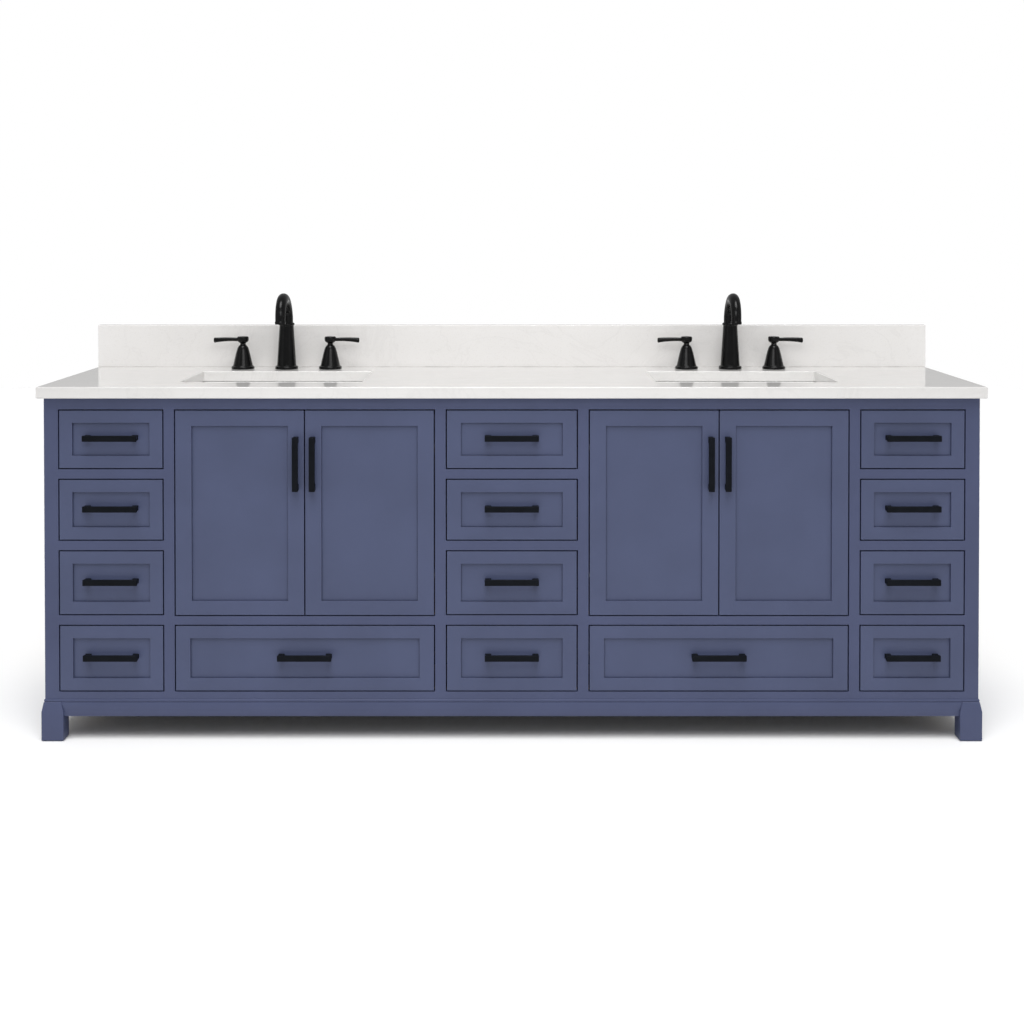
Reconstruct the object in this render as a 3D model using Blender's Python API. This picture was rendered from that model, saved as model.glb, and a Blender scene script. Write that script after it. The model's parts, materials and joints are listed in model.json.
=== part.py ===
"""Freestanding double-basin bathroom vanity with a quartz top, drawers, doors and two widespread faucets.

Metres.  +X runs to the right seen from the front, the front faces -Y, +Z is up, and the origin is the
middle of the footprint on the floor.  Depths below are measured back from the countertop's front edge
and y_at() turns them into Y.
"""
import math

import bmesh
import bpy
from mathutils import Vector

# ------------------------------------------------------------------ driving dimensions
CLEAR = 0.0003              # gap kept between pieces that touch
BITE = 0.001                # how far boxes of one piece run into each other
PAST = 0.010                # how far a cutter runs past what it cuts
SMOOTH_BELOW = math.radians(35)         # edges sharper than this stay crisp on round pieces

TOP_WIDTH = 2.4384          # countertop, 96 by 22 inches
TOP_DEPTH = 0.5588
TOP_THICK = 0.030
TOP_HEIGHT = 0.917          # its upper face above the floor
OVERHANG = 0.019            # countertop in front of the face frame
SPLASH_THICK = 0.020
SPLASH_HEIGHT = 0.124

BODY_HALF = 1.2055          # half the cabinet's width
FRAME_THICK = 0.020         # face frame, doors and drawer fronts
SIDE_THICK = 0.018
PARTITION_THICK = 0.014
PARTITION_DROP = 0.017      # outer partitions below the countertop
BACK_THICK = 0.009
APRON_BOTTOM = 0.0634

CENTER_COLUMN = 0.1703      # half width of the middle column's openings
DOOR_BAY = (0.1981, 0.8703)     # distances of a door opening's two edges from the middle
SIDE_COLUMN = (0.8974, 1.1690)  # distances of a side column's two edges from the middle
DOOR_BOTTOM = 0.3222        # lower edge of a door opening; its top is that of the first row
ROWS = ((0.7025, 0.8570), (0.5175, 0.6780), (0.3245, 0.4930), (0.1265, 0.3000))

REVEAL = 0.003              # gap all round an inset door or drawer front
RECESS = 0.006              # depth of the flat panel inside a front's frame
DRAWER_RAIL = 0.032         # frame widths of the drawer fronts: rails, then stiles by kind of drawer
SIDE_STILE = 0.0335
CENTER_STILE = 0.0365
WIDE_STILE = 0.0375
DOOR_STILE = 0.042
DOOR_RAILS = (0.0365, 0.040)            # bottom and top

DECK = (0.105, 0.123)       # bottom board
BAY_FLOOR = (0.304, 0.322)  # shelf behind the doors, over the wide drawers
NAILER_BOTTOM = 0.790
SIDE_PANEL_MARGIN = (0.075, 0.065, 0.115, 0.060)    # front, back, bottom, top of the side's sunk panel

BEAD = (0.110, 0.119)       # base moulding that wraps the front and the sides
BEAD_PROUD = 0.0025

FOOT_OUT = 1.2135           # outer face of a foot, from the middle
FOOT_IN = 1.1560
FOOT_DEPTH = 0.047
FOOT_PROUD = 0.008          # foot in front of the face frame
FOOT_TOP = 0.1006
FOOT_KNEE = 0.0754          # where the flare ends and the foot runs straight down
FOOT_TOP_PROUD = 0.003
FOOT_TOP_IN = 1.1635
REAR_FOOT_SET = 0.0001      # rear foot short of the back of its rail

PULL_LENGTH = 0.1394        # flat bar of a pull
PULL_WIDTH = 0.0152
PULL_BAR = 0.008
PULL_CAP = (0.0177, 0.0140, 0.0004)     # thickened end: length, width, set in from the bar's end
PULL_CAP_DEPTH = (0.004, 0.015)         # its front and back, behind the front of the bar
PULL_POST = (0.012, 0.009, 0.0025)      # post: length, width, set in from the bar's end
PULL_REACH = 0.024          # front of the bar from the face it is screwed to
DRAWER_PULL_RAISE = 0.0037  # above the middle of a drawer front
DOOR_PULL_HEIGHT = 0.7176
DOOR_PULL_INSET = 0.0216    # bar centre from the line where two doors meet

HINGE_INSET = 0.100         # hinges from the ends of the door opening
HINGE_BLOCK = (0.045, 0.030)            # packing behind a hinge: depth and half height
CUP_SPAN = (0.005, 0.040)               # hinge cup, from the door's hinged edge
CUP_HALF = 0.0175
CUP_PROUD = 0.002

BOX_SIDE_GAP = 0.0127       # room for a ball-bearing slide beside a drawer box
BOX_LENGTH = 0.460
BOX_WALL = 0.012
BOX_FLOOR = 0.009
BOX_LIFT = 0.012            # drawer box above the opening's lower edge
BOX_DROP = 0.022            # and below its upper edge
SLIDE_HALF = 0.0225
STRIP_LENGTH = 0.480

BASIN_X = {"left": -0.6385, "right": 0.624}      # basin centres
BASIN_HALF = (0.240, 0.1475)
BASIN_DEPTH_POS = 0.2625    # basin centre, back from the front edge
BASIN_DROP = 0.145
DRAIN_RADIUS = 0.0225
# Rings of the bowl as (set in at the sides, set in at front and back, corner radius, height).
# Inner face, heights from the bowl's floor:
BOWL_INSIDE = ((0.045, 0.042, 0.040, 0.006), (0.024, 0.020, 0.040, 0.030))
# Rim and flange, heights from the rim:
BOWL_RIM = ((0.002, 0.002, 0.025, 0.0), (-0.020, -0.020, 0.035, 0.0), (-0.020, -0.020, 0.035, -0.012),
            (-0.0065, -0.0065, 0.030, -0.012))
# Outer face, heights from the bowl's floor:
BOWL_OUTSIDE = ((0.015, 0.011, 0.045, 0.025), (0.036, 0.033, 0.045, -0.006))
DRAIN_DROP = 0.010          # lower edge of the drain hole below the bowl's floor
STOPPER = ((0.005, -0.045), (0.005, 0.0015), (0.030, 0.0015), (0.031, 0.003), (0.029, 0.0055),
           (0.012, 0.0068))             # stem and cap: (radius, height)

BASIN_NOTCH = (0.085, 0.440, 0.800)     # cut in the outer partitions: front, back, bottom

FAUCET_X = {"left": -0.6549, "right": 0.6350}
FAUCET_DEPTH_POS = 0.485
HANDLE_SPREAD = 0.1270
SHANK_RADIUS = 0.016
SHANK_DROP = 0.055
HOLE_RADIUS = 0.0175
FLANGE = ((SHANK_RADIUS, -SHANK_DROP), (SHANK_RADIUS, -0.00005), (0.033, 0.0), (0.033, 0.0065),
          (0.0305, 0.0085), (0.0275, 0.0095))   # shank and foot ring: (radius, height) pairs
COLUMN = ((0.0265, 0.022), (0.0235, 0.070), (0.0202, 0.125), (0.0225, 0.1275), (0.0225, 0.1325),
          (0.0186, 0.135))
BELL = ((0.0250, 0.024), (0.0190, 0.044), (0.0140, 0.060), (0.0125, 0.067), (0.0070, 0.0685), (0.0070, 0.072))
HUB = ((0.0070, 0.0), (0.0120, 0.004), (0.0160, 0.010), (0.0160, 0.017), (0.0120, 0.022))
LEVER = ((0.004, 0.0120, 0.0050), (0.030, 0.0128, 0.0052), (0.060, 0.0122, 0.0057),
         (0.0840, 0.0107, 0.0062))      # arm: (reach, height, radius)
ARCH = (0.055, 0.151)       # gooseneck: radius, and height where it springs
ARCH_TUBE = (0.0184, 0.0142)            # tube radius at the column and from the top of the arch on
OUTLET = ((0.1425, 0.0142), (0.1420, 0.0150), (0.1360, 0.0150))     # (height, radius)

WASTE_HOLE = (0.660, 0.515, 0.030)      # square hole in the back: distance out, height, half width
SUPPLY_HOLES = ((0.550, 0.540, 0.022), (0.770, 0.540, 0.022))

FRONT_MOST = OVERHANG - PULL_REACH
Y_MIDDLE = (FRONT_MOST + TOP_DEPTH) / 2
TOP_UNDER = TOP_HEIGHT - TOP_THICK
FACE = OVERHANG
FRAME_BACK = OVERHANG + FRAME_THICK
SIDES = {"left": -1, "right": 1}


def y_at(depth):
    """Y of a point this far behind the countertop's front edge."""
    return depth - Y_MIDDLE


# ------------------------------------------------------------------ materials
def principled(name, colour, roughness, metallic=0.0):
    material = bpy.data.materials.new(name)
    material.use_nodes = True
    shader = material.node_tree.nodes["Principled BSDF"]
    shader.inputs["Base Color"].default_value = (*colour, 1.0)
    shader.inputs["Roughness"].default_value = roughness
    shader.inputs["Metallic"].default_value = metallic
    material.diffuse_color = (*colour, 1.0)
    return material


# ------------------------------------------------------------------ mesh tools
def box(x, depth, z):
    """Corners of a box from its ranges in X, in depth behind the top's front edge, and in Z."""
    low_x, high_x = sorted(x)
    return (low_x, y_at(depth[0]), z[0]), (high_x, y_at(depth[1]), z[1])


def mirrored(x_range, side):
    """A range of distances from the middle as X values on one side."""
    return tuple(sorted(side * value for value in x_range))


def solid_of(boxes, holes=()):
    """Closed mesh of the union of axis-aligned boxes, less the holes."""
    def tidy(item):
        return tuple(tuple(round(value, 6) for value in corner) for corner in item)

    boxes = [tidy(item) for item in boxes]
    holes = [tidy(item) for item in holes]
    cuts = [sorted({corner[axis] for item in boxes + holes for corner in item}) for axis in range(3)]

    def inside(point, item):
        return all(item[0][axis] < point[axis] < item[1][axis] for axis in range(3))

    def filled(cell):
        if any(not 0 <= cell[axis] < len(cuts[axis]) - 1 for axis in range(3)):
            return False
        middle = [(cuts[axis][cell[axis]] + cuts[axis][cell[axis] + 1]) / 2 for axis in range(3)]
        if any(inside(middle, item) for item in holes):
            return False
        return any(inside(middle, item) for item in boxes)

    state = {
        (i, j, k): filled((i, j, k))
        for i in range(-1, len(cuts[0]))
        for j in range(-1, len(cuts[1]))
        for k in range(-1, len(cuts[2]))
    }
    mesh = bmesh.new()
    corners = {}

    def corner(index):
        if index not in corners:
            corners[index] = mesh.verts.new([cuts[axis][index[axis]] for axis in range(3)])
        return corners[index]

    for cell, solid in state.items():
        if not solid:
            continue
        for axis in range(3):
            for step in (-1, 1):
                beside = list(cell)
                beside[axis] += step
                if state[tuple(beside)]:
                    continue
                across, along = (axis + 1) % 3, (axis + 2) % 3
                loop = []
                for da, db in ((0, 0), (1, 0), (1, 1), (0, 1)):
                    index = list(cell)
                    index[axis] += max(step, 0)
                    index[across] += da
                    index[along] += db
                    loop.append(corner(tuple(index)))
                mesh.faces.new(loop if step > 0 else loop[::-1])
    bmesh.ops.dissolve_limit(mesh, angle_limit=math.radians(1), verts=mesh.verts, edges=mesh.edges)
    return mesh


def loft(rings, closed=False):
    """Mesh skinned over rings of equal point count, capped at both ends unless it closes on itself."""
    mesh = bmesh.new()
    loops = [[mesh.verts.new(point) for point in ring] for ring in rings]
    pairs = list(zip(loops, loops[1:]))
    if closed:
        pairs.append((loops[-1], loops[0]))
    for lower, upper in pairs:
        count = len(lower)
        for i in range(count):
            mesh.faces.new((lower[i], lower[(i + 1) % count], upper[(i + 1) % count], upper[i]))
    if not closed:
        mesh.faces.new(loops[0][::-1])
        mesh.faces.new(loops[-1])
    bmesh.ops.recalc_face_normals(mesh, faces=mesh.faces)
    return mesh


def round_ring(centre, half_x, half_y, radius, z, per_corner=4):
    """Rounded rectangle at height z; equal halves and radius give a circle."""
    points = []
    for i in range(4 * per_corner):
        angle = (i + 0.5) * math.pi / (2 * per_corner)
        sign_x = math.copysign(1, math.cos(angle))
        sign_y = math.copysign(1, math.sin(angle))
        x = centre[0] + sign_x * (half_x - radius) + radius * math.cos(angle)
        y = centre[1] + sign_y * (half_y - radius) + radius * math.sin(angle)
        points.append((x, y, z))
    return points


def turned(centre, profile, per_corner=4):
    """Solid of revolution about a vertical axis; the profile is (radius, height) from bottom to top."""
    return loft([round_ring(centre, r, r, r, z, per_corner) for r, z in profile])


def raised(profile, z):
    """The profile's heights moved up to start from z."""
    return [(radius, z + height) for radius, height in profile]


def tube(path, across, sides=12):
    """Round tube of changing radius; the path is (point, radius, direction), all square to across."""
    rings = []
    for point, radius, ahead in path:
        up = ahead.cross(across)
        ring = []
        for k in range(sides):
            angle = 2 * math.pi * k / sides
            ring.append(point + radius * (math.cos(angle) * across + math.sin(angle) * up))
        rings.append(ring)
    return loft(rings)


def node(name, mesh, material, origin=(0.0, 0.0, 0.0), parent=None, smooth=False):
    """Object from a mesh given in world coordinates, with its origin moved to where it turns or slides."""
    bmesh.ops.translate(mesh, vec=-Vector(origin), verts=mesh.verts)
    data = bpy.data.meshes.new(name)
    mesh.to_mesh(data)
    mesh.free()
    if smooth:
        data.shade_smooth()
        data.set_sharp_from_angle(angle=SMOOTH_BELOW)
    data.materials.append(material)
    thing = bpy.data.objects.new(name, data)
    bpy.context.scene.collection.objects.link(thing)
    thing.location = Vector(origin)
    if parent:
        thing.parent = parent
        thing.location = Vector(origin) - parent.location
    return thing


def apply_boolean(target, tools, operation):
    """Joins or cuts the target with each tool mesh, then removes the tools."""
    for tool in tools:
        helper = node("tool", tool, target.data.materials[0])
        modifier = target.modifiers.new("Boolean", "BOOLEAN")
        modifier.operation = operation
        modifier.solver = "EXACT"
        modifier.object = helper
        bpy.context.view_layer.update()
        graph = bpy.context.evaluated_depsgraph_get()
        result = bpy.data.meshes.new_from_object(target.evaluated_get(graph), depsgraph=graph)
        target.modifiers.clear()
        target.data = result
        bpy.data.objects.remove(helper)


# ------------------------------------------------------------------ openings in the face frame
def column_openings():
    """(name, x range) of the three drawer columns."""
    return (
        ("left", mirrored(SIDE_COLUMN, -1)),
        ("center", (-CENTER_COLUMN, CENTER_COLUMN)),
        ("right", mirrored(SIDE_COLUMN, 1)),
    )


def drawer_openings():
    """(name, x range, z range, stile width) of every drawer."""
    found = []
    for name, x_range in column_openings():
        stile = CENTER_STILE if name == "center" else SIDE_STILE
        for number, z_range in enumerate(ROWS, start=1):
            found.append((f"{name}_{number}", x_range, z_range, stile))
    for name, side in SIDES.items():
        found.append((f"wide_{name}", mirrored(DOOR_BAY, side), ROWS[3], WIDE_STILE))
    return found


DOOR_RISE = (DOOR_BOTTOM, ROWS[0][1])


def hinge_heights():
    return DOOR_RISE[0] + HINGE_INSET, DOOR_RISE[1] - HINGE_INSET


# ------------------------------------------------------------------ cabinet
def make_face_frame(paint):
    through = (FACE - PAST, FRAME_BACK + PAST)
    holes = [box(x, through, z) for _, x, z, _ in drawer_openings()]
    for side in SIDES.values():
        holes.append(box(mirrored(DOOR_BAY, side), through, DOOR_RISE))
    plate = box((-BODY_HALF, BODY_HALF), (FACE, FRAME_BACK), (APRON_BOTTOM, TOP_UNDER - CLEAR))
    outer = BODY_HALF + BEAD_PROUD
    beads = [box((-outer, outer), (FACE - BEAD_PROUD, FACE + BITE), BEAD)]
    for side in SIDES.values():
        x = mirrored((BODY_HALF + CLEAR, outer), side)
        beads.append(box(x, (FACE - BEAD_PROUD, TOP_DEPTH), BEAD))
        beads.append(box(mirrored((BODY_HALF - BITE, outer), side), (FACE - BEAD_PROUD, FRAME_BACK), BEAD))
    node("face_frame", solid_of([plate, *beads], holes), paint)


def make_side_panels(paint):
    front, back, bottom, top = SIDE_PANEL_MARGIN
    for name, side in SIDES.items():
        inner = BODY_HALF - SIDE_THICK
        board = box(mirrored((inner, BODY_HALF), side), (FRAME_BACK + CLEAR, TOP_DEPTH),
                    (APRON_BOTTOM, TOP_UNDER - CLEAR))
        sunk = box(mirrored((BODY_HALF - RECESS, BODY_HALF + PAST), side),
                   (FACE + front, TOP_DEPTH - back), (APRON_BOTTOM + bottom, TOP_UNDER - top))
        strips = []
        for low, high in ROWS:
            middle = (low + high) / 2
            strips.append(box(mirrored((SIDE_COLUMN[1], inner + BITE), side),
                              (FRAME_BACK + CLEAR, FRAME_BACK + STRIP_LENGTH),
                              (middle - SLIDE_HALF, middle + SLIDE_HALF)))
        node(f"side_panel_{name}", solid_of([board, *strips], [sunk]), paint)


def make_back_panel(plywood):
    inner = BODY_HALF - SIDE_THICK - CLEAR
    board = box((-inner, inner), (TOP_DEPTH - BACK_THICK, TOP_DEPTH), (DECK[0], TOP_UNDER - CLEAR))
    cutouts = []
    for side in SIDES.values():
        for out, height, half in (WASTE_HOLE, *SUPPLY_HOLES):
            cutouts.append(box(mirrored((out - half, out + half), side),
                               (TOP_DEPTH - 2 * BACK_THICK, TOP_DEPTH + PAST), (height - half, height + half)))
    node("back_panel", solid_of([board], cutouts), plywood)


def make_carcass(plywood):
    """Bottom board, four partitions, the shelves behind the doors, the nailer and the slide packings."""
    front = FRAME_BACK + CLEAR
    back = TOP_DEPTH - BACK_THICK - CLEAR
    inner = BODY_HALF - SIDE_THICK - CLEAR
    boxes = [
        box((-inner, inner), (front, back), DECK),
        box((-inner, inner), (back - SIDE_THICK, back), (NAILER_BOTTOM, TOP_UNDER - CLEAR)),
    ]
    near = (CENTER_COLUMN, CENTER_COLUMN + PARTITION_THICK)
    far = (SIDE_COLUMN[0] - PARTITION_THICK, SIDE_COLUMN[0])
    for side in SIDES.values():
        boxes.append(box(mirrored(near, side), (front, back), (DECK[0], TOP_UNDER - CLEAR)))
        boxes.append(box(mirrored(far, side), (front, back), (DECK[0], TOP_UNDER - PARTITION_DROP)))
        boxes.append(box(mirrored((near[0], far[1]), side), (front, back), BAY_FLOOR))
        middle = sum(ROWS[3]) / 2
        packings = ((near[1] - BITE, DOOR_BAY[0]), (DOOR_BAY[1], far[0] + BITE))
        for packing in packings:
            boxes.append(box(mirrored(packing, side), (front, FRAME_BACK + STRIP_LENGTH),
                             (middle - SLIDE_HALF, middle + SLIDE_HALF)))
            for height in hinge_heights():
                boxes.append(box(mirrored(packing, side), (front, front + HINGE_BLOCK[0]),
                                 (height - HINGE_BLOCK[1], height + HINGE_BLOCK[1])))
    notches = []
    for side in SIDES.values():
        notches.append(box(mirrored((far[0] - BITE, far[1] + BITE), side), BASIN_NOTCH[:2],
                           (BASIN_NOTCH[2], TOP_HEIGHT)))
    node("carcass", solid_of(boxes, notches), plywood)


# ------------------------------------------------------------------ base
def foot_block(side, front, back, flare_front, flare_back):
    """Square foot whose upper part tapers in on the outside, the inside and where asked at front and back."""
    levels = (
        (0.0, FOOT_IN, FOOT_OUT, front, back),
        (FOOT_KNEE, FOOT_IN, FOOT_OUT, front, back),
        (FOOT_TOP, FOOT_TOP_IN, BODY_HALF + FOOT_TOP_PROUD, front + flare_front, back - flare_back),
    )
    rings = []
    for z, near, far, start, stop in levels:
        rings.append([
            (side * near, y_at(start), z),
            (side * far, y_at(start), z),
            (side * far, y_at(stop), z),
            (side * near, y_at(stop), z),
        ])
    return loft(rings)


def make_feet(paint):
    front = FACE - FOOT_PROUD
    for name, side in SIDES.items():
        foot = node(f"foot_front_{name}",
                    foot_block(side, front, front + FOOT_DEPTH, FOOT_PROUD - FOOT_TOP_PROUD, 0.0), paint)
        corner = box(mirrored((FOOT_IN - PAST, BODY_HALF + CLEAR), side), (FACE - CLEAR, FACE + FOOT_DEPTH),
                     (APRON_BOTTOM - CLEAR, FOOT_TOP + PAST))
        apply_boolean(foot, [solid_of([corner])], "DIFFERENCE")


def make_rear_base(paint):
    """Back rail with a foot at each end, which stand inside and outside the side panels."""
    inner = BODY_HALF - SIDE_THICK - CLEAR
    rail = box((-inner, inner), (TOP_DEPTH - SIDE_THICK, TOP_DEPTH), (APRON_BOTTOM, DECK[0] - CLEAR))
    base = node("rear_base", solid_of([rail]), paint)
    for side in SIDES.values():
        foot = foot_block(side, TOP_DEPTH - FOOT_DEPTH, TOP_DEPTH - REAR_FOOT_SET, 0.0, 0.0)
        apply_boolean(base, [foot], "UNION")
        slot = box(mirrored((inner, BODY_HALF + CLEAR), side),
                   (TOP_DEPTH - FOOT_DEPTH - PAST, TOP_DEPTH + PAST), (APRON_BOTTOM - CLEAR, DECK[0] + PAST))
        apply_boolean(base, [solid_of([slot])], "DIFFERENCE")


# ------------------------------------------------------------------ doors and drawers
def front_opening(x, z, stile):
    """Hole that sinks the flat panel of a front by its recess."""
    return box((x[0] + stile, x[1] - stile), (FACE - PAST, FACE + RECESS), z)


def make_pull(name, centre_x, centre_z, face_depth, upright, metal, parent):
    """Flat bar with a thickened cap and a post at each end, on the face at the given depth."""
    along = (centre_z if upright else centre_x)
    across = (centre_x if upright else centre_z)
    front = face_depth - PULL_REACH
    half = PULL_LENGTH / 2
    parts = [((along - half, along + half), PULL_WIDTH, (front, front + PULL_BAR))]
    for end in (-1, 1):
        cap = (along + end * (half - PULL_CAP[2]), along + end * (half - PULL_CAP[2] - PULL_CAP[0]))
        post = (along + end * (half - PULL_POST[2]), along + end * (half - PULL_POST[2] - PULL_POST[0]))
        parts.append((sorted(cap), PULL_CAP[1], (front + PULL_CAP_DEPTH[0], front + PULL_CAP_DEPTH[1])))
        parts.append((sorted(post), PULL_POST[1], (front + PULL_BAR / 2, face_depth - CLEAR)))
    boxes = []
    for length, width, depth in parts:
        sides = (across - width / 2, across + width / 2)
        boxes.append(box(sides, depth, length) if upright else box(length, depth, sides))
    node(name, solid_of(boxes), metal, (centre_x, y_at(face_depth), centre_z), parent)


def make_drawer(name, opening_x, opening_z, stile, paint, metal):
    """Framed front and the open box behind it, as one sliding piece, with its pull."""
    x = (opening_x[0] + REVEAL, opening_x[1] - REVEAL)
    z = (opening_z[0] + REVEAL, opening_z[1] - REVEAL)
    front = box(x, (FACE, FRAME_BACK), z)
    sunk = front_opening(x, (z[0] + DRAWER_RAIL, z[1] - DRAWER_RAIL), stile)
    outer_x = (opening_x[0] + BOX_SIDE_GAP, opening_x[1] - BOX_SIDE_GAP)
    outer_z = (opening_z[0] + BOX_LIFT, opening_z[1] - BOX_DROP)
    tub = box(outer_x, (FRAME_BACK - BITE, FRAME_BACK + BOX_LENGTH), outer_z)
    cavity = box((outer_x[0] + BOX_WALL, outer_x[1] - BOX_WALL),
                 (FRAME_BACK + BOX_WALL, FRAME_BACK + BOX_LENGTH - BOX_WALL),
                 (outer_z[0] + BOX_FLOOR, outer_z[1] + PAST))
    middle = ((x[0] + x[1]) / 2, (z[0] + z[1]) / 2)
    drawer = node(f"drawer_{name}", solid_of([front, tub], [sunk, cavity]), paint,
                  (middle[0], y_at(FACE), middle[1]))
    make_pull(f"pull_{name}", middle[0], middle[1] + DRAWER_PULL_RAISE, FACE + RECESS, False, metal, drawer)


def make_door(name, hinge_x, meeting_x, paint, metal):
    """Framed door turning about its outer front corner, with two hinge cups on its back and its pull."""
    x = tuple(sorted((hinge_x, meeting_x)))
    z = (DOOR_RISE[0] + REVEAL, DOOR_RISE[1] - REVEAL)
    slab = box(x, (FACE, FRAME_BACK), z)
    sunk = front_opening(x, (z[0] + DOOR_RAILS[0], z[1] - DOOR_RAILS[1]), DOOR_STILE)
    inward = math.copysign(1, meeting_x - hinge_x)
    cups = []
    for height in hinge_heights():
        cup_x = sorted(hinge_x + inward * edge for edge in CUP_SPAN)
        cups.append(box(cup_x, (FRAME_BACK - BITE, FRAME_BACK + CUP_PROUD),
                        (height - CUP_HALF, height + CUP_HALF)))
    door = node(f"door_{name}", solid_of([slab, *cups], [sunk]), paint, (hinge_x, y_at(FACE), z[0]))
    pull_x = meeting_x - inward * (DOOR_PULL_INSET - REVEAL / 2)
    make_pull(f"pull_door_{name}", pull_x, DOOR_PULL_HEIGHT, FACE, True, metal, door)


def make_doors(paint, metal):
    meeting = sum(DOOR_BAY) / 2
    for name, side in SIDES.items():
        make_door(f"{name}_inner", side * (DOOR_BAY[0] + REVEAL), side * (meeting - REVEAL / 2), paint, metal)
        make_door(f"{name}_outer", side * (DOOR_BAY[1] - REVEAL), side * (meeting + REVEAL / 2), paint, metal)


# ------------------------------------------------------------------ stone top and basins
def make_stone(stone):
    slab = box((-TOP_WIDTH / 2, TOP_WIDTH / 2), (0.0, TOP_DEPTH), (TOP_UNDER, TOP_HEIGHT))
    cutouts = []
    for centre in BASIN_X.values():
        cutouts.append(box((centre - BASIN_HALF[0], centre + BASIN_HALF[0]),
                           (BASIN_DEPTH_POS - BASIN_HALF[1], BASIN_DEPTH_POS + BASIN_HALF[1]),
                           (TOP_UNDER - PAST, TOP_HEIGHT + PAST)))
    top = node("countertop", solid_of([slab], cutouts), stone)
    drills = []
    for middle in FAUCET_X.values():
        for offset in (-HANDLE_SPREAD, 0.0, HANDLE_SPREAD):
            centre = (middle + offset, y_at(FAUCET_DEPTH_POS))
            drill = ((HOLE_RADIUS, TOP_UNDER - PAST), (HOLE_RADIUS, TOP_HEIGHT + PAST))
            drills.append(turned(centre, drill, 3))
    apply_boolean(top, drills, "DIFFERENCE")
    splash = box((-TOP_WIDTH / 2, TOP_WIDTH / 2), (TOP_DEPTH - SPLASH_THICK, TOP_DEPTH),
                 (TOP_HEIGHT + CLEAR, TOP_HEIGHT + SPLASH_HEIGHT))
    node("backsplash", solid_of([splash]), stone)


def make_basin(name, ceramic):
    """Undermount rectangular bowl with a flange, tapered walls and a drain hole."""
    centre = (BASIN_X[name], y_at(BASIN_DEPTH_POS))
    rim = TOP_UNDER - CLEAR
    floor = rim - BASIN_DROP
    rings = [(DRAIN_RADIUS, DRAIN_RADIUS, DRAIN_RADIUS, floor)]
    for face, base in ((BOWL_INSIDE, floor), (BOWL_RIM, rim), (BOWL_OUTSIDE, floor)):
        for in_x, in_y, corner, height in face:
            rings.append((BASIN_HALF[0] - in_x, BASIN_HALF[1] - in_y, corner, base + height))
    rings.append((DRAIN_RADIUS, DRAIN_RADIUS, DRAIN_RADIUS, floor - DRAIN_DROP))
    bowl = loft([round_ring(centre, *ring) for ring in rings], closed=True)
    node(f"basin_{name}", bowl, ceramic, smooth=True)


def make_stopper(name, metal):
    """Pop-up drain cap on its stem."""
    centre = (BASIN_X[name], y_at(BASIN_DEPTH_POS))
    floor = TOP_UNDER - CLEAR - BASIN_DROP
    cap = turned(centre, raised(STOPPER, floor), 3)
    node(f"drain_stopper_{name}", cap, metal, (*centre, floor), smooth=True)


# ------------------------------------------------------------------ faucets
def make_spout(name, metal):
    """Foot ring, tapered column, collar and gooseneck, swept as one piece, with its shank below."""
    x, y, z = FAUCET_X[name], y_at(FAUCET_DEPTH_POS), TOP_HEIGHT + CLEAR
    rise = Vector((0, 0, 1))
    path = [(Vector((x, y, height)), radius, rise) for radius, height in raised(FLANGE + COLUMN, z)]
    steps = 10
    for i in range(steps + 1):
        angle = math.pi * i / steps
        forward = ARCH[0] * (1 - math.cos(angle))
        radius = ARCH_TUBE[0] + (ARCH_TUBE[1] - ARCH_TUBE[0]) * min(1.0, 2 * i / steps)
        point = Vector((x, y - forward, z + ARCH[1] + ARCH[0] * math.sin(angle)))
        path.append((point, radius, Vector((0, -math.sin(angle), math.cos(angle)))))
    for height, radius in OUTLET:
        path.append((Vector((x, y - 2 * ARCH[0], z + height)), radius, -rise))
    node(f"faucet_spout_{name}", tube(path, Vector((1, 0, 0))), metal, smooth=True)


def make_handle(name, centre_x, outward, metal):
    """Bell-shaped valve body with its shank, and the lever that turns on top of it."""
    centre = (centre_x, y_at(FAUCET_DEPTH_POS))
    z = TOP_HEIGHT + CLEAR
    node(f"handle_base_{name}", turned(centre, raised(FLANGE + BELL, z), 3), metal, smooth=True)
    low = z + BELL[-1][1] + CLEAR
    lever = node(f"lever_{name}", turned(centre, raised(HUB, low), 3), metal, (*centre, low), smooth=True)
    along = Vector((outward, 0, 0))
    arm = [(Vector((outward * reach, 0, height)), radius, along) for reach, height, radius in LEVER]
    join_at_origin(lever, tube(arm, Vector((0, 1, 0)), 8))


def join_at_origin(target, tool):
    """Union of the target with a tool mesh that is already in the target's own coordinates."""
    home = target.location.copy()
    target.location = (0.0, 0.0, 0.0)
    apply_boolean(target, [tool], "UNION")
    target.location = home
    target.data.shade_smooth()
    target.data.set_sharp_from_angle(angle=SMOOTH_BELOW)


def make_faucets(metal):
    for name, middle in FAUCET_X.items():
        make_spout(name, metal)
        for water, outward in (("hot", -1), ("cold", 1)):
            make_handle(f"{name}_{water}", middle + outward * HANDLE_SPREAD, outward, metal)


# ------------------------------------------------------------------ assembly
def main():
    for thing in list(bpy.data.objects):
        bpy.data.objects.remove(thing)
    paint = principled("slate_blue_paint", (0.083, 0.095, 0.170), 0.45)
    plywood = principled("birch_plywood", (0.62, 0.47, 0.30), 0.60)
    stone = principled("white_quartz", (0.83, 0.81, 0.79), 0.20)
    ceramic = principled("white_ceramic", (0.88, 0.88, 0.87), 0.10)
    metal = principled("matte_black_metal", (0.012, 0.013, 0.016), 0.38, 0.6)
    make_face_frame(paint)
    make_side_panels(paint)
    make_back_panel(plywood)
    make_carcass(plywood)
    make_feet(paint)
    make_rear_base(paint)
    for name, x, z, stile in drawer_openings():
        make_drawer(name, x, z, stile, paint, metal)
    make_doors(paint, metal)
    make_stone(stone)
    for name in SIDES:
        make_basin(name, ceramic)
        make_stopper(name, metal)
    make_faucets(metal)


main()
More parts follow.
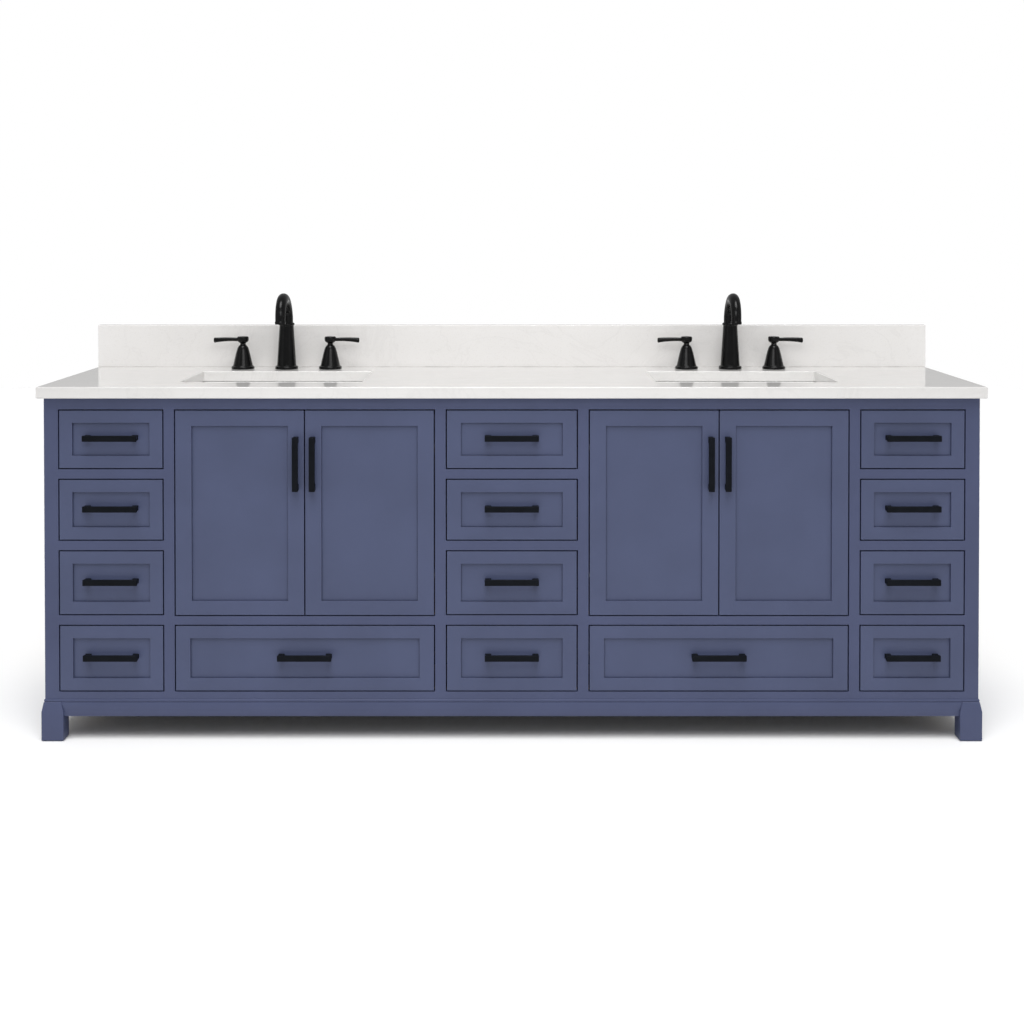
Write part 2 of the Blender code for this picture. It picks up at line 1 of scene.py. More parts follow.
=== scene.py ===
import json
import math

import bmesh
import bpy
from mathutils import Matrix, Vector

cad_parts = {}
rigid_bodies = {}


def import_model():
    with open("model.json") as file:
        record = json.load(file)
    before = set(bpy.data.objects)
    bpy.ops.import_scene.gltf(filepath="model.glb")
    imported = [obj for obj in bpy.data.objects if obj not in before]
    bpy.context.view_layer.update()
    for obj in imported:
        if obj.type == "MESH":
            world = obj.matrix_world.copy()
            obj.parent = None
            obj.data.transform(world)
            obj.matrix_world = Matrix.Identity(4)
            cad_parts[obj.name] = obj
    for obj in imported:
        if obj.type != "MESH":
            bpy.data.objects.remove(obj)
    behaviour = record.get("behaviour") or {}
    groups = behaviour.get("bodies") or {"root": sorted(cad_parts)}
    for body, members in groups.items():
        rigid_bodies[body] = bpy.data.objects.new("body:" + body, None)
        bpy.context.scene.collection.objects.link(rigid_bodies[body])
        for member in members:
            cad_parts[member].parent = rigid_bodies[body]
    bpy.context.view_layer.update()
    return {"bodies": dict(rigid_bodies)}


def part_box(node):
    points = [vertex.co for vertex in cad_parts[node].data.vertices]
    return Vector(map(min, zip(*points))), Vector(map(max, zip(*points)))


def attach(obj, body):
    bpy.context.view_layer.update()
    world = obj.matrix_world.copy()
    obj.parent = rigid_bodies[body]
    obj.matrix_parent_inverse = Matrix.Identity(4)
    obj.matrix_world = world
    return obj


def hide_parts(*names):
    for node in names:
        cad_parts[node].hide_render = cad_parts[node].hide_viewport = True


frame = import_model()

# ---------- places read from the frame
ROOT = "cabinet"
SIDES = {"left": -1, "right": 1}
DOORS = ("left_outer", "left_inner", "right_inner", "right_outer")
DRAWERS = [name[len("drawer_"):] for name in frame["bodies"] if name.startswith("drawer_")]

TOP_LOW, TOP_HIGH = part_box("countertop")
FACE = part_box("door_left_inner")[0].y           # front plane of face frame, doors and drawer fronts
BODY_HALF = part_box("side_panel_right")[1].x
WALL = TOP_HIGH.y
APRON_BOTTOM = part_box("face_frame")[0].z
FRAME_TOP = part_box("face_frame")[1].z
DECK_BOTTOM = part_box("carcass")[0].z


def middle_of(node):
    low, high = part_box(node)
    return (low + high) / 2


BASIN_MIDDLE = {name: middle_of(f"basin_{name}") for name in SIDES}
FAUCET_Y = middle_of("handle_base_left_hot").y
FAUCET_X = {name: middle_of(f"faucet_spout_{name}").x for name in SIDES}

# ---------- dimensions, in metres
CLEAR = 0.0003                          # gap between pieces that touch
FRAME_THICK = 0.02                      # face frame, doors and drawer fronts
FRAME_BACK = FACE + FRAME_THICK
REVEAL = 0.003                          # gap all round an inset front
SIDE_THICK = 0.018

RECESS = 0.006                          # sunk panel behind the frame of a front or side
PANEL_GROOVE = 0.0011                   # hair-wide groove where a sunk panel is let into its frame
PANEL_EASE = 0.0008                     # rounding of a front's edges
DRAWER_RAIL = 0.032                     # frame widths of the fronts and of the side panels
DRAWER_STILES = {"left": 0.0335, "center": 0.0365, "right": 0.0335, "wide": 0.0375}
DOOR_STILE = 0.042
DOOR_RAILS = (0.0365, 0.04)             # bottom and top
SIDE_STILE = 0.062
SIDE_RAILS = (0.115, 0.06)              # bottom and top

DECK_THICK = 0.018                      # bottom board
BAY_FLOOR = (0.304, 0.322)              # shelf over the wide drawers
NAILER_BOTTOM = 0.79
PARTITION_NEAR = (0.1703, 0.1843)       # either side of the middle column of drawers, from the centre line
PARTITION_FAR = (0.8834, 0.8974)        # beside the outer columns
BAY = (0.1981, 0.8703)                  # opening of the pair of doors and of the wide drawer
OUTER_COLUMN_END = 1.169
BASIN_NOTCH = (0.085, 0.44, 0.8)        # in the far partitions: ends from the counter's front edge, bottom
HINGE_HEIGHTS = (0.4222, 0.757)
HINGE_PACKING = (0.045, 0.03)           # depth and half height
SLIDE_PACKING = (0.48, 0.0225)          # length and half height
SHADE_SHEET_HALF = 1.15                        # dark sheet under the bottom board: painted shade that deepens the shadow on the floor beneath
SHADE_SHEET_THICK = 0.0012
PIPE_HOLES = ((0.66, 0.515, 0.03), (0.55, 0.54, 0.022), (0.77, 0.54, 0.022))   # (out, height, radius)

BEAD = (0.1006, 0.1078, 0.0022)         # bead on the base moulding: bottom, top, proud of the body

FOOT_DEPTH = 0.047
FOOT_INNER = 1.156                      # inner face of a foot, from the middle
FOOT_KNEE = 0.0754                      # below it a foot is square
FOOT_TOP_INSET = 0.0075                 # how far the inner face has drawn in at the top
FOOT_TOP_PROUD = 0.0032                 # top of the outer face, past the side of the body
FOOT_TOP_BACK = 0.005                   # how far the front face of a front foot has drawn back at the top
REAR_FOOT_SET = 0.0008                  # keeps a rear foot's back clear of the back edges of rail and side
GLIDE_HEIGHT = 0.0015                   # a foot's underside above the floor
GLIDE_X = 1.1847                        # middle of a glide, from the middle of the cabinet

BAR = (0.1394, 0.0152, 0.008)           # pull: length, width, thickness
CAP = (0.0177, 0.014, 0.0004)           # its thickened end: length, width, set in from the bar's end
CAP_DEPTH = (0.004, 0.015)              # front and back of the thickened end, behind the bar's front
POST = (0.012, 0.009, 0.0025)           # length, width, set in from the bar's end

SLIDE_GAP = 0.0127                      # between a drawer box and the side of its opening
SLIDE_SPAN = (0.002, 0.45)              # ends of a slide, behind the face frame
BOX_WALL = 0.012
BOX_LIFT = 0.009                        # drawer box above the lower edge of its front
BOX_DROP = 0.019                        # and below the upper edge
BOX_FLOOR = (0.004, 0.009)              # sheet in the drawer box, above the box's lower edge
TAIL_PITCH = 0.032                      # about one dovetail per this much height

CUP_INSET = 0.0225                      # hinge cup's centre from the hung edge of the door
CUP_RADIUS = 0.0175
CUP_FROM_END = 0.097                    # from the door's top and bottom
# Boards of a hinge plate: two distances from the side of the opening, two behind the frame, half height.
HINGE_PLATE = ((0.0, 0.002, 0.006, 0.044, 0.022), (0.002, 0.011, 0.004, 0.052, 0.006))

BASIN_HALF = (0.24, 0.1475)
BASIN_FLOOR = 0.01                      # bowl's floor above the basin's underside
CUTOUT_CORNER = 0.005
DRAIN_RADIUS = 0.0225
HANDLE_SPREAD = 0.127                   # a handle from the spout beside it
FAUCET_HOLE = 0.0175


# ---------- node-tree helpers
class Tree:
    """Short ways to add and link nodes in one material."""

    def __init__(self, name):
        self.material = bpy.data.materials.new(name)
        self.material.use_nodes = True
        self.nodes = self.material.node_tree.nodes
        self.links = self.material.node_tree.links
        self.shader = self.nodes["Principled BSDF"]

    def add(self, kind, **settings):
        node = self.nodes.new(kind)
        for key, value in settings.items():
            setattr(node, key, value)
        return node

    def join(self, source, target):
        self.links.new(source, target)

    def feed(self, node, **values):
        """Sets a node's inputs; a socket given as a value is linked."""
        for key, value in values.items():
            target = node.inputs[key.replace("_", " ")]
            if isinstance(value, bpy.types.NodeSocket):
                self.join(value, target)
            else:
                target.default_value = value
        return node

    def coordinates(self, scale=(1.0, 1.0, 1.0)):
        """The piece's own coordinates in metres, stretched along the axes."""
        place = self.add("ShaderNodeTexCoord").outputs["Object"]
        return self.feed(self.add("ShaderNodeMapping"), Vector=place, Scale=scale).outputs["Vector"]

    def noise(self, vector, scale, detail=3.0, roughness=0.5, distortion=0.0):
        node = self.feed(self.add("ShaderNodeTexNoise"), Vector=vector, Scale=scale, Detail=detail,
                         Roughness=roughness, Distortion=distortion)
        return node.outputs["Fac"]

    def ramp(self, value, stops):
        """Colour ramp; stops are (position, colour) pairs."""
        node = self.add("ShaderNodeValToRGB")
        elements = node.color_ramp.elements
        while len(elements) < len(stops):
            elements.new(0.5)
        for element, (position, colour) in zip(elements, stops):
            element.position = position
            element.color = (*colour, 1.0)
        return self.feed(node, Fac=value).outputs["Color"]

    def spread(self, value, low, high):
        """Maps a 0 to 1 texture value to a range."""
        node = self.feed(self.add("ShaderNodeMapRange"), Value=value, From_Min=0.25, From_Max=0.75,
                         To_Min=low, To_Max=high)
        return node.outputs["Result"]

    def mix(self, factor, first, second, blend="MIX"):
        node = self.add("ShaderNodeMix", data_type="RGBA", blend_type=blend)
        for key, value in (("Factor", factor), ("A", first), ("B", second)):
            kind = "VALUE" if key == "Factor" else "RGBA"
            socket = [s for s in node.inputs if s.name == key and s.type == kind][0]
            if isinstance(value, bpy.types.NodeSocket):
                self.join(value, socket)
            else:
                socket.default_value = value if key == "Factor" else (*value, 1.0)
        return [s for s in node.outputs if s.type == "RGBA"][0]

    def bump(self, height, distance, strength):
        node = self.feed(self.add("ShaderNodeBump"), Height=height, Distance=distance, Strength=strength)
        self.set(Normal=node.outputs["Normal"])

    def cloudy(self, value, dark, light):
        """Colour that drifts between two tones."""
        self.set(Base_Color=self.ramp(value, ((0.3, dark), (0.7, light))))

    def roughness(self, value, low, high):
        self.set(Roughness=self.spread(value, low, high))

    def set(self, **values):
        self.feed(self.shader, **values)


# ---------- materials
def shade(colour, factor):
    return tuple(channel * factor for channel in colour)


def coating(name, dark, light, tone, sheen, relief, **settings):
    """Tone, sheen and relief that each follow a noise, given by its scale, its detail and its effect."""
    tree = Tree(name)
    place = tree.coordinates()
    tree.cloudy(tree.noise(place, *tone), dark, light)
    tree.roughness(tree.noise(place, *sheen[:2]), *sheen[2:])
    tree.bump(tree.noise(place, *relief[:2]), *relief[2:])
    tree.set(**settings)
    return tree.material


def painted(name, colour):
    """Satin sprayed paint: a faint cloudiness, a fine orange peel and uneven sheen."""
    return coating(name, shade(colour, 0.94), shade(colour, 1.06), (7.0, 4.0), (60.0, 3.0, 0.4, 0.52),
                   (900.0, 2.0, 0.00006, 0.6), Specular_IOR_Level=0.35)


def quartz(name, light, dark):
    """Polished white engineered stone: warm drifting tone, soft grey veins and fine specks."""
    tree = Tree(name)
    place = tree.coordinates()
    drift = tree.noise(place, 3.0, 5.0, 0.6, 0.8)
    base = tree.ramp(drift, ((0.32, dark), (0.68, light)))
    vein_source = tree.noise(tree.coordinates((1.0, 1.6, 1.0)), 2.2, 6.0, 0.55, 2.6)
    vein = tree.ramp(vein_source, ((0.485, (0, 0, 0)), (0.5, (1, 1, 1)), (0.515, (0, 0, 0))))
    amount = tree.add("ShaderNodeMath", operation="MULTIPLY")
    amount.inputs[1].default_value = 0.16
    tree.join(vein, amount.inputs[0])
    veined = tree.mix(amount.outputs[0], base, shade(dark, 0.8))
    specks = tree.feed(tree.add("ShaderNodeTexVoronoi", feature="F1"), Vector=place, Scale=420.0)
    grain = tree.ramp(specks.outputs["Color"], ((0.1, (0.965, 0.96, 0.955)), (0.3, (1, 1, 1))))
    tree.set(Base_Color=tree.mix(1.0, veined, grain, "MULTIPLY"))
    tree.roughness(tree.noise(place, 30.0, 4.0), 0.05, 0.09)
    tree.bump(tree.noise(place, 60.0, 2.0), 0.00001, 0.15)
    return tree.material


def ceramic(name, light, dark):
    """Glossy white glaze with a slow waviness and a hint of thickness in tone."""
    return coating(name, dark, light, (5.0, 2.0), (40.0, 3.0, 0.06, 0.12), (22.0, 1.0, 0.0002, 0.25),
                   Coat_Weight=0.6, Coat_Roughness=0.04)


def coated_metal(name, colour, low, high, specular):
    """Coated metal: near-black, finely pebbled, with rubbed patches of sheen."""
    return coating(name, shade(colour, 0.85), shade(colour, 1.2), (45.0, 3.0), (130.0, 3.0, low, high),
                   (2600.0, 1.0, 0.00003, 0.5), Specular_IOR_Level=specular)


def timber(name, axis, light, dark, across=34.0):
    """Clear-coated birch with its grain along one axis: long fibres, growth bands and pores."""
    tree = Tree(name)

    def along_grain(scale_across, scale_along):
        return tree.coordinates(tuple(scale_along if i == axis else scale_across for i in range(3)))

    bands = tree.noise(along_grain(across, 2.2), 1.0, 6.0, 0.55, 1.1)
    drift = tree.noise(along_grain(6.0, 0.9), 1.0, 3.0, 0.5, 0.6)
    tone = tree.ramp(bands, ((0.28, dark), (0.52, light), (0.75, shade(light, 1.08))))
    faded = tree.ramp(drift, ((0.3, (0.86, 0.84, 0.8)), (0.7, (1, 1, 1))))
    drifted = tree.mix(1.0, tone, faded, "MULTIPLY")
    pores = tree.noise(along_grain(900.0, 14.0), 1.0, 2.0)
    fine = tree.ramp(pores, ((0.36, (0.88, 0.85, 0.8)), (0.48, (1, 1, 1))))
    tree.set(Base_Color=tree.mix(0.8, drifted, fine, "MULTIPLY"))
    tree.roughness(bands, 0.5, 0.36)
    tree.bump(pores, 0.00008, 0.5)
    return tree.material


def plated_steel(name):
    """Zinc-plated strip: brushed along its length, with a cloudy bluish cast."""
    tree = Tree(name)
    tree.cloudy(tree.noise(tree.coordinates(), 38.0, 4.0), (0.46, 0.47, 0.49), (0.62, 0.63, 0.64))
    brushed = tree.noise(tree.coordinates((700.0, 8.0, 700.0)), 1.0, 2.0)
    tree.roughness(brushed, 0.26, 0.44)
    tree.bump(brushed, 0.00002, 0.4)
    tree.set(Metallic=1.0)
    return tree.material


def moulded_plastic(name, colour):
    """Dull moulded plastic with a spark-eroded grain."""
    return coating(name, shade(colour, 0.88), shade(colour, 1.12), (25.0, 3.0), (300.0, 3.0, 0.48, 0.62),
                   (1800.0, 1.0, 0.00004, 0.5))


PAINT = painted("slate_blue_paint", (0.0597, 0.0732, 0.1412))
# Slightly darker copy of the front paint for face frame, base moulding and feet: partly the frame's own tone,
# partly painted shade at the cabinet's ends and bottom.
FRAME_PAINT_AND_SHADE = painted("slate_blue_frame_paint_and_shade", (0.056, 0.0682, 0.1365))
STONE = quartz("white_quartz", (0.695, 0.684, 0.673), (0.675, 0.662, 0.65))
# Lighter copy of the same quartz, painted light: it brightens the backsplash and the walls of the basin
# cut-outs.
STONE_PAINTED_LIGHTER = quartz("white_quartz_painted_lighter", (0.828, 0.815, 0.802), (0.806, 0.791, 0.777))
GLAZE = ceramic("white_glaze", (0.87, 0.87, 0.865), (0.83, 0.83, 0.82))
BLACK = coated_metal("black_powder_coat", (0.005, 0.006, 0.0085), 0.34, 0.48, 0.06)
SATIN = coated_metal("satin_black_finish", (0.0032, 0.0032, 0.0035), 0.17, 0.25, 0.2)
DARK = coated_metal("black_steel", (0.008, 0.008, 0.009), 0.3, 0.42, 0.15)
BIRCH_LIGHT, BIRCH_DARK = (0.66, 0.5, 0.33), (0.5, 0.35, 0.21)
BIRCH = [timber(f"birch_along_{'xyz'[axis]}", axis, BIRCH_LIGHT, BIRCH_DARK) for axis in range(3)]
PINS = timber("birch_end_grain", 0, (0.5, 0.36, 0.22), (0.38, 0.26, 0.15), 260.0)
STEEL = plated_steel("zinc_plated_steel")
PLASTIC = moulded_plastic("black_plastic", (0.022, 0.022, 0.023))
CAULK = moulded_plastic("clear_silicone", (0.5, 0.49, 0.47))


# ---------- mesh helpers
def loft(rings, closed=False, mesh=None):
    """Skin over rings of equal point count, capped at both ends unless it closes on itself."""
    mesh = mesh or bmesh.new()
    loops = [[mesh.verts.new(point) for point in ring] for ring in rings]
    pairs = list(zip(loops, loops[1:]))
    if closed:
        pairs.append((loops[-1], loops[0]))
    made = []
    for lower, upper in pairs:
        count = len(lower)
        for i in range(count):
            made.append(mesh.faces.new((lower[i], lower[(i + 1) % count], upper[(i + 1) % count], upper[i])))
    if not closed:
        made.append(mesh.faces.new(loops[0][::-1]))
        made.append(mesh.faces.new(loops[-1]))
    bmesh.ops.recalc_face_normals(mesh, faces=made)
    return mesh


def board(mesh, x, y, z):
    """Adds one closed box to a mesh from its three ranges."""
    x, y, z = sorted(x), sorted(y), sorted(z)
    rings = [[(x[0], y[0], h), (x[1], y[0], h), (x[1], y[1], h), (x[0], y[1], h)] for h in z]
    return loft(rings, mesh=mesh)


def prism(mesh, outline, axis, low, high):
    """Adds a closed prism; the outline's points are on the two other axes, in X, Y, Z order."""
    def place(point, height):
        values = list(point)
        values.insert(axis, height)
        return tuple(values)

    return loft([[place(p, low) for p in outline], [place(p, high) for p in outline]], mesh=mesh)


def angles(count):
    return [2 * math.pi * i / count for i in range(count)]


def spaced(start, stop, count):
    return [start + (stop - start) * i / (count - 1) for i in range(count)]


def circle(centre, radius, z, count=48):
    return [(centre[0] + radius * math.cos(a), centre[1] + radius * math.sin(a), z) for a in angles(count)]


def turned(centre, profile, base=0.0, count=48, mesh=None, closed=False):
    """Solid of revolution about a vertical axis from (radius, height above base) pairs."""
    return loft([circle(centre, radius, base + z, count) for radius, z in profile], closed, mesh)


def upright_ring(x, z, radius, y, count):
    """Circle in a plane that faces the front."""
    return [(x + radius * math.cos(a), y, z + radius * math.sin(a)) for a in angles(count)]


def rounded(profile, radius, steps=4):
    """Replaces each inner corner of an open profile by an arc of up to this radius."""
    points = [Vector(p) for p in profile]
    result = [points[0]]
    for before, corner, after in zip(points, points[1:], points[2:]):
        cut = min(radius, (before - corner).length * 0.45, (after - corner).length * 0.45)
        start = corner + (before - corner).normalized() * cut
        stop = corner + (after - corner).normalized() * cut
        for i in range(steps + 1):
            t = i / steps
            result.append((1 - t) ** 2 * start + 2 * t * (1 - t) * corner + t ** 2 * stop)
    result.append(points[-1])
    return [tuple(p) for p in result]


def round_rectangle(centre, half_x, half_y, radius, z, per_corner=8):
    """Rounded rectangle; corner points start and end exactly where the straight runs do."""
    points = []
    for quarter in range(4):
        sign_x = (1, -1, -1, 1)[quarter]
        sign_y = (1, 1, -1, -1)[quarter]
        for i in range(per_corner):
            angle = (quarter + (i + 0.5) / per_corner) * math.pi / 2
            points.append((centre[0] + sign_x * (half_x - radius) + radius * math.cos(angle),
                           centre[1] + sign_y * (half_y - radius) + radius * math.sin(angle), z))
    return points


def placed(name, data):
    """New object in the scene."""
    thing = bpy.data.objects.new(name, data)
    bpy.context.scene.collection.objects.link(thing)
    return thing


def piece(name, mesh, material, body=ROOT, stands_for=(), bevel=0.0, smooth_angle=35.0, segments=2,
          level=False, second_material=None):
    """Object from a mesh in the frame's coordinates, riding on a body, with eased edges where asked.

    level keeps large flat faces evenly lit where they meet modelled eased edges.
    """
    data = bpy.data.meshes.new(name)
    mesh.to_mesh(data)
    mesh.free()
    data.materials.append(material)
    if second_material:
        data.materials.append(second_material)
    data.shade_smooth()
    data.set_sharp_from_angle(angle=math.pi if bevel else math.radians(smooth_angle))
    thing = placed(name, data)
    if bevel:
        modifier = thing.modifiers.new("Eased edges", "BEVEL")
        modifier.width = bevel
        modifier.segments = segments
        modifier.limit_method = "ANGLE"
        modifier.angle_limit = math.radians(30)
        modifier.harden_normals = True
        modifier.use_clamp_overlap = True
    if level:
        thing.modifiers.new("Level faces", "WEIGHTED_NORMAL").keep_sharp = True
    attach(thing, body)
    if stands_for:
        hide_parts(*stands_for)
    return thing


def pierced_plate(x, y, z, holes):
    """Closed upright plate with rectangular openings, each given by its X and Z ranges."""
    columns = sorted({round(value, 6) for pair in (x, *(hole[0] for hole in holes)) for value in pair})
    rows = sorted({round(value, 6) for pair in (z, *(hole[1] for hole in holes)) for value in pair})

    def solid(i, k):
        if not (0 <= i < len(columns) - 1 and 0 <= k < len(rows) - 1):
            return False
        middle_x, middle_z = (columns[i] + columns[i + 1]) / 2, (rows[k] + rows[k + 1]) / 2
        return not any(hx[0] < middle_x < hx[1] and hz[0] < middle_z < hz[1] for hx, hz in holes)

    mesh, corners = bmesh.new(), {}

    def face(*keys):
        for i, j, k in keys:
            if (i, j, k) not in corners:
                corners[i, j, k] = mesh.verts.new((columns[i], y[j], rows[k]))
        mesh.faces.new([corners[key] for key in keys])

    for i in range(len(columns) - 1):
        for k in range(len(rows) - 1):
            if not solid(i, k):
                continue
            for j in (0, 1):
                face((i, j, k), (i + 1, j, k), (i + 1, j, k + 1), (i, j, k + 1))
            for step in (0, 1):
                if not solid(i + 2 * step - 1, k):
                    face((i + step, 0, k), (i + step, 1, k), (i + step, 1, k + 1), (i + step, 0, k + 1))
                if not solid(i, k + 2 * step - 1):
                    face((i, 0, k + step), (i + 1, 0, k + step), (i + 1, 1, k + step), (i, 1, k + step))
    bmesh.ops.recalc_face_normals(mesh, faces=mesh.faces)
    bmesh.ops.dissolve_limit(mesh, angle_limit=math.radians(1), verts=mesh.verts, edges=mesh.edges)
    return mesh


# ---------- framed panels
def framed_panel(to_world, u, v, thick, stile, rail, top_rail):
    """Board with a sunk flat panel: rings run from the back edge over the frame and down onto the panel.

    to_world(u, v, w) places a point, with w outward from the face.
    """
    def ring(inset, w, rim=0.0):
        left, low, high = inset * stile + rim, inset * rail + rim, inset * top_rail + rim
        return [to_world(u[0] + left, v[0] + low, w), to_world(u[1] - left, v[0] + low, w),
                to_world(u[1] - left, v[1] - high, w), to_world(u[0] + left, v[1] - high, w)]

    quarter = spaced(0, math.pi / 2, 5)
    arc = [(PANEL_EASE * (1 - math.cos(a)), PANEL_EASE * (1 - math.sin(a))) for a in quarter]
    rings = [ring(0, -thick, PANEL_EASE), ring(0, PANEL_EASE - thick)]
    rings += [ring(0, -drop, rim) for rim, drop in arc]
    rings += [ring(1, -drop, -rim) for rim, drop in reversed(arc)]
    rings.append(ring(1, -RECESS - PANEL_GROOVE))
    rings.append(ring(1, -RECESS - PANEL_GROOVE, PANEL_GROOVE))
    rings.append(ring(1, -RECESS, PANEL_GROOVE))
    return loft(rings)


def facing_front(u, v, w):
    return u, FACE - w, v


def facing_side(side):
    """Places a panel on the left or right end of the cabinet, u running to the viewer's right."""
    return lambda u, v, w: (side * (BODY_HALF + w), side * u, v)


def front_box(name):
    """X and Z ranges of a drawer's or door's front."""
    low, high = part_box(name)
    return (low.x, high.x), (low.z, high.z)


# ---------- cabinet
def opening_holes():
    """Openings of the face frame, each its front grown by the reveal; the two doors of a pair share one."""
    fronts = [front_box("drawer_" + name) for name in DRAWERS]
    for side in SIDES:
        (inner_x, z), (outer_x, _) = [front_box(f"door_{side}_{which}") for which in ("inner", "outer")]
        fronts.append(((min(*inner_x, *outer_x), max(*inner_x, *outer_x)), z))
    return [((x[0] - REVEAL, x[1] + REVEAL), (z[0] - REVEAL, z[1] + REVEAL)) for x, z in fronts]


def make_face_frame():
    width, depth, height = (-BODY_HALF, BODY_HALF), (FACE, FRAME_BACK), (APRON_BOTTOM, FRAME_TOP)
    plate = pierced_plate(width, depth, height, opening_holes())
    # The face frame takes the darker paint copy, partly painted shade.
    piece("face_frame_painted", plate, FRAME_PAINT_AND_SHADE, stands_for=["face_frame"], bevel=0.0008)


def make_base_moulding():
    """Baseboard with an eased top, a fillet and a bead, mitred round the front and both ends."""
    low, high, proud = BEAD
    profile = [(-0.002, APRON_BOTTOM), (0.0008, APRON_BOTTOM), (0.0014, APRON_BOTTOM + 0.0008),
               (0.0014, 0.0988), (0.001, 0.0998), (0.0002, 0.1002)]
    for angle in spaced(-math.pi / 2, math.pi / 2, 9):
        profile.append((CLEAR + (proud - CLEAR) * math.cos(angle),
                        (low + high) / 2 + (high - low) / 2 * math.sin(angle)))
    profile.append((-0.002, high))
    stations = ((-1, WALL, 0), (-1, FACE, 1), (1, FACE, 1), (1, WALL, 0))
    rings = []
    for side, y, corner in stations:
        rings.append([(side * (BODY_HALF + out), y - out * corner, z) for out, z in profile])
    # The moulding takes the darker paint copy, partly painted shade at the bottom.
    piece("base_moulding", loft(rings), FRAME_PAINT_AND_SHADE, smooth_angle=40)


def make_side_panels():
    for name, side in SIDES.items():
        u = sorted((side * (FRAME_BACK + CLEAR), side * WALL))
        v = (APRON_BOTTOM, FRAME_TOP)
        mesh = framed_panel(facing_side(side), u, v, SIDE_THICK, SIDE_STILE, *SIDE_RAILS)
        piece(f"side_panel_{name}_painted", mesh, PAINT, stands_for=[f"side_panel_{name}"], level=True)


def make_back_panel():
    """Thin sheet with holes for the waste and the two supply pipes of each basin, screwed round its edge."""
    low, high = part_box("back_panel")
    holes = []
    for side in SIDES.values():
        for out, height, radius in PIPE_HOLES:
            holes.append(flattened(circle((side * out, height), radius, 0.0)))
    sheet = filled_sheet([rectangle_outline(low.x, high.x, low.z, high.z), *holes], low.y, high.y, 0.0004)
    piece("back_sheet", sheet, BIRCH[2], stands_for=["back_panel"], smooth_angle=40, level=True)
    heads = bmesh.new()
    spots = [(x, z) for x in spaced(low.x + 0.02, high.x - 0.02, 16) for z in (low.z + 0.009, high.z - 0.03)]
    spots += [(x, z) for x in (low.x + 0.009, high.x - 0.009) for z in spaced(low.z + 0.1, high.z - 0.1, 6)]
    for x, z in spots:
        head = ((0.0036, -0.002), (0.0036, -0.0002), (0.0026, 0.0004))
        loft([upright_ring(x, z, r, high.y + depth, 12) for r, depth in head], mesh=heads)
    piece("back_screws", heads, STEEL)


def flattened(points):
    return [(x, y) for x, y, _ in points]


def rectangle_outline(x0, x1, z0, z1):
    return [(x0, z0), (x1, z0), (x1, z1), (x0, z1)]


def filled_sheet(outlines, low, high, ease, flat=False):
    """Plate from an outline and holes, as a filled curve with eased rims; upright unless flat is set."""
    curve = bpy.data.curves.new("sheet", "CURVE")
    curve.dimensions = "2D"
    curve.fill_mode = "BOTH"
    curve.extrude = (high - low) / 2 - ease
    curve.bevel_depth = ease
    curve.bevel_resolution = 3
    curve.offset = -ease
    for outline in outlines:
        spline = curve.splines.new("POLY")
        spline.points.add(len(outline) - 1)
        for point, (a, b) in zip(spline.points, outline):
            point.co = (a, b, 0.0, 1.0)
        spline.use_cyclic_u = True
    thing = placed("sheet", curve)
    bpy.context.view_layer.update()
    graph = bpy.context.evaluated_depsgraph_get()
    data = bpy.data.meshes.new_from_object(thing.evaluated_get(graph), depsgraph=graph)
    mesh = bmesh.new()
    mesh.from_mesh(data)
    bpy.data.objects.remove(thing)
    bpy.data.curves.remove(curve)
    bpy.data.meshes.remove(data)
    bmesh.ops.remove_doubles(mesh, verts=mesh.verts, dist=0.00001)
    if flat:
        turn = Matrix.Translation((0, 0, (low + high) / 2))
    else:
        turn = Matrix.Translation((0, (low + high) / 2, 0)) @ Matrix.Rotation(math.pi / 2, 4, "X")
    bmesh.ops.transform(mesh, matrix=turn, verts=mesh.verts)
    bmesh.ops.recalc_face_normals(mesh, faces=mesh.faces)
    return mesh


def make_carcass():
    """Boards of the box behind the face frame, each a separate eased board."""
    low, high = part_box("carcass")
    front, back = low.y, high.y
    rear = back - DECK_THICK
    deck = DECK_BOTTOM + DECK_THICK
    flat = bmesh.new()
    board(flat, (low.x, high.x), (front, back), (DECK_BOTTOM, deck))
    board(flat, (low.x, high.x), (rear, back), (NAILER_BOTTOM, high.z))
    for side in SIDES.values():
        board(flat, (side * PARTITION_NEAR[1], side * PARTITION_FAR[0]), (front, back), BAY_FLOOR)
    piece("carcass_boards", flat, BIRCH[0], stands_for=["carcass"], bevel=0.0006)
    notch_front, notch_back = TOP_LOW.y + BASIN_NOTCH[0], TOP_LOW.y + BASIN_NOTCH[1]
    notch_floor = BASIN_NOTCH[2]
    notched = [(front, deck), (rear, deck), (rear, high.z), (notch_back, high.z), (notch_back, notch_floor),
               (notch_front, notch_floor), (notch_front, high.z), (front, high.z)]
    upright = bmesh.new()
    for side in SIDES.values():
        board(upright, (side * PARTITION_NEAR[0], side * PARTITION_NEAR[1]), (front, rear), (deck, high.z))
        prism(upright, notched, 0, *sorted((side * PARTITION_FAR[0], side * PARTITION_FAR[1])))
    piece("carcass_partitions", upright, BIRCH[1], bevel=0.0006)
    make_packings(front)
    # A dark sheet under the bottom board is painted shade: it deepens the shadow on the floor beneath the
    # cabinet.
    shade_sheet = board(bmesh.new(), (-SHADE_SHEET_HALF, SHADE_SHEET_HALF), (front + 0.002, WALL - SIDE_THICK - 0.002),
                 (DECK_BOTTOM - SHADE_SHEET_THICK, DECK_BOTTOM))
    piece("dark_shade_sheet", shade_sheet, PLASTIC)


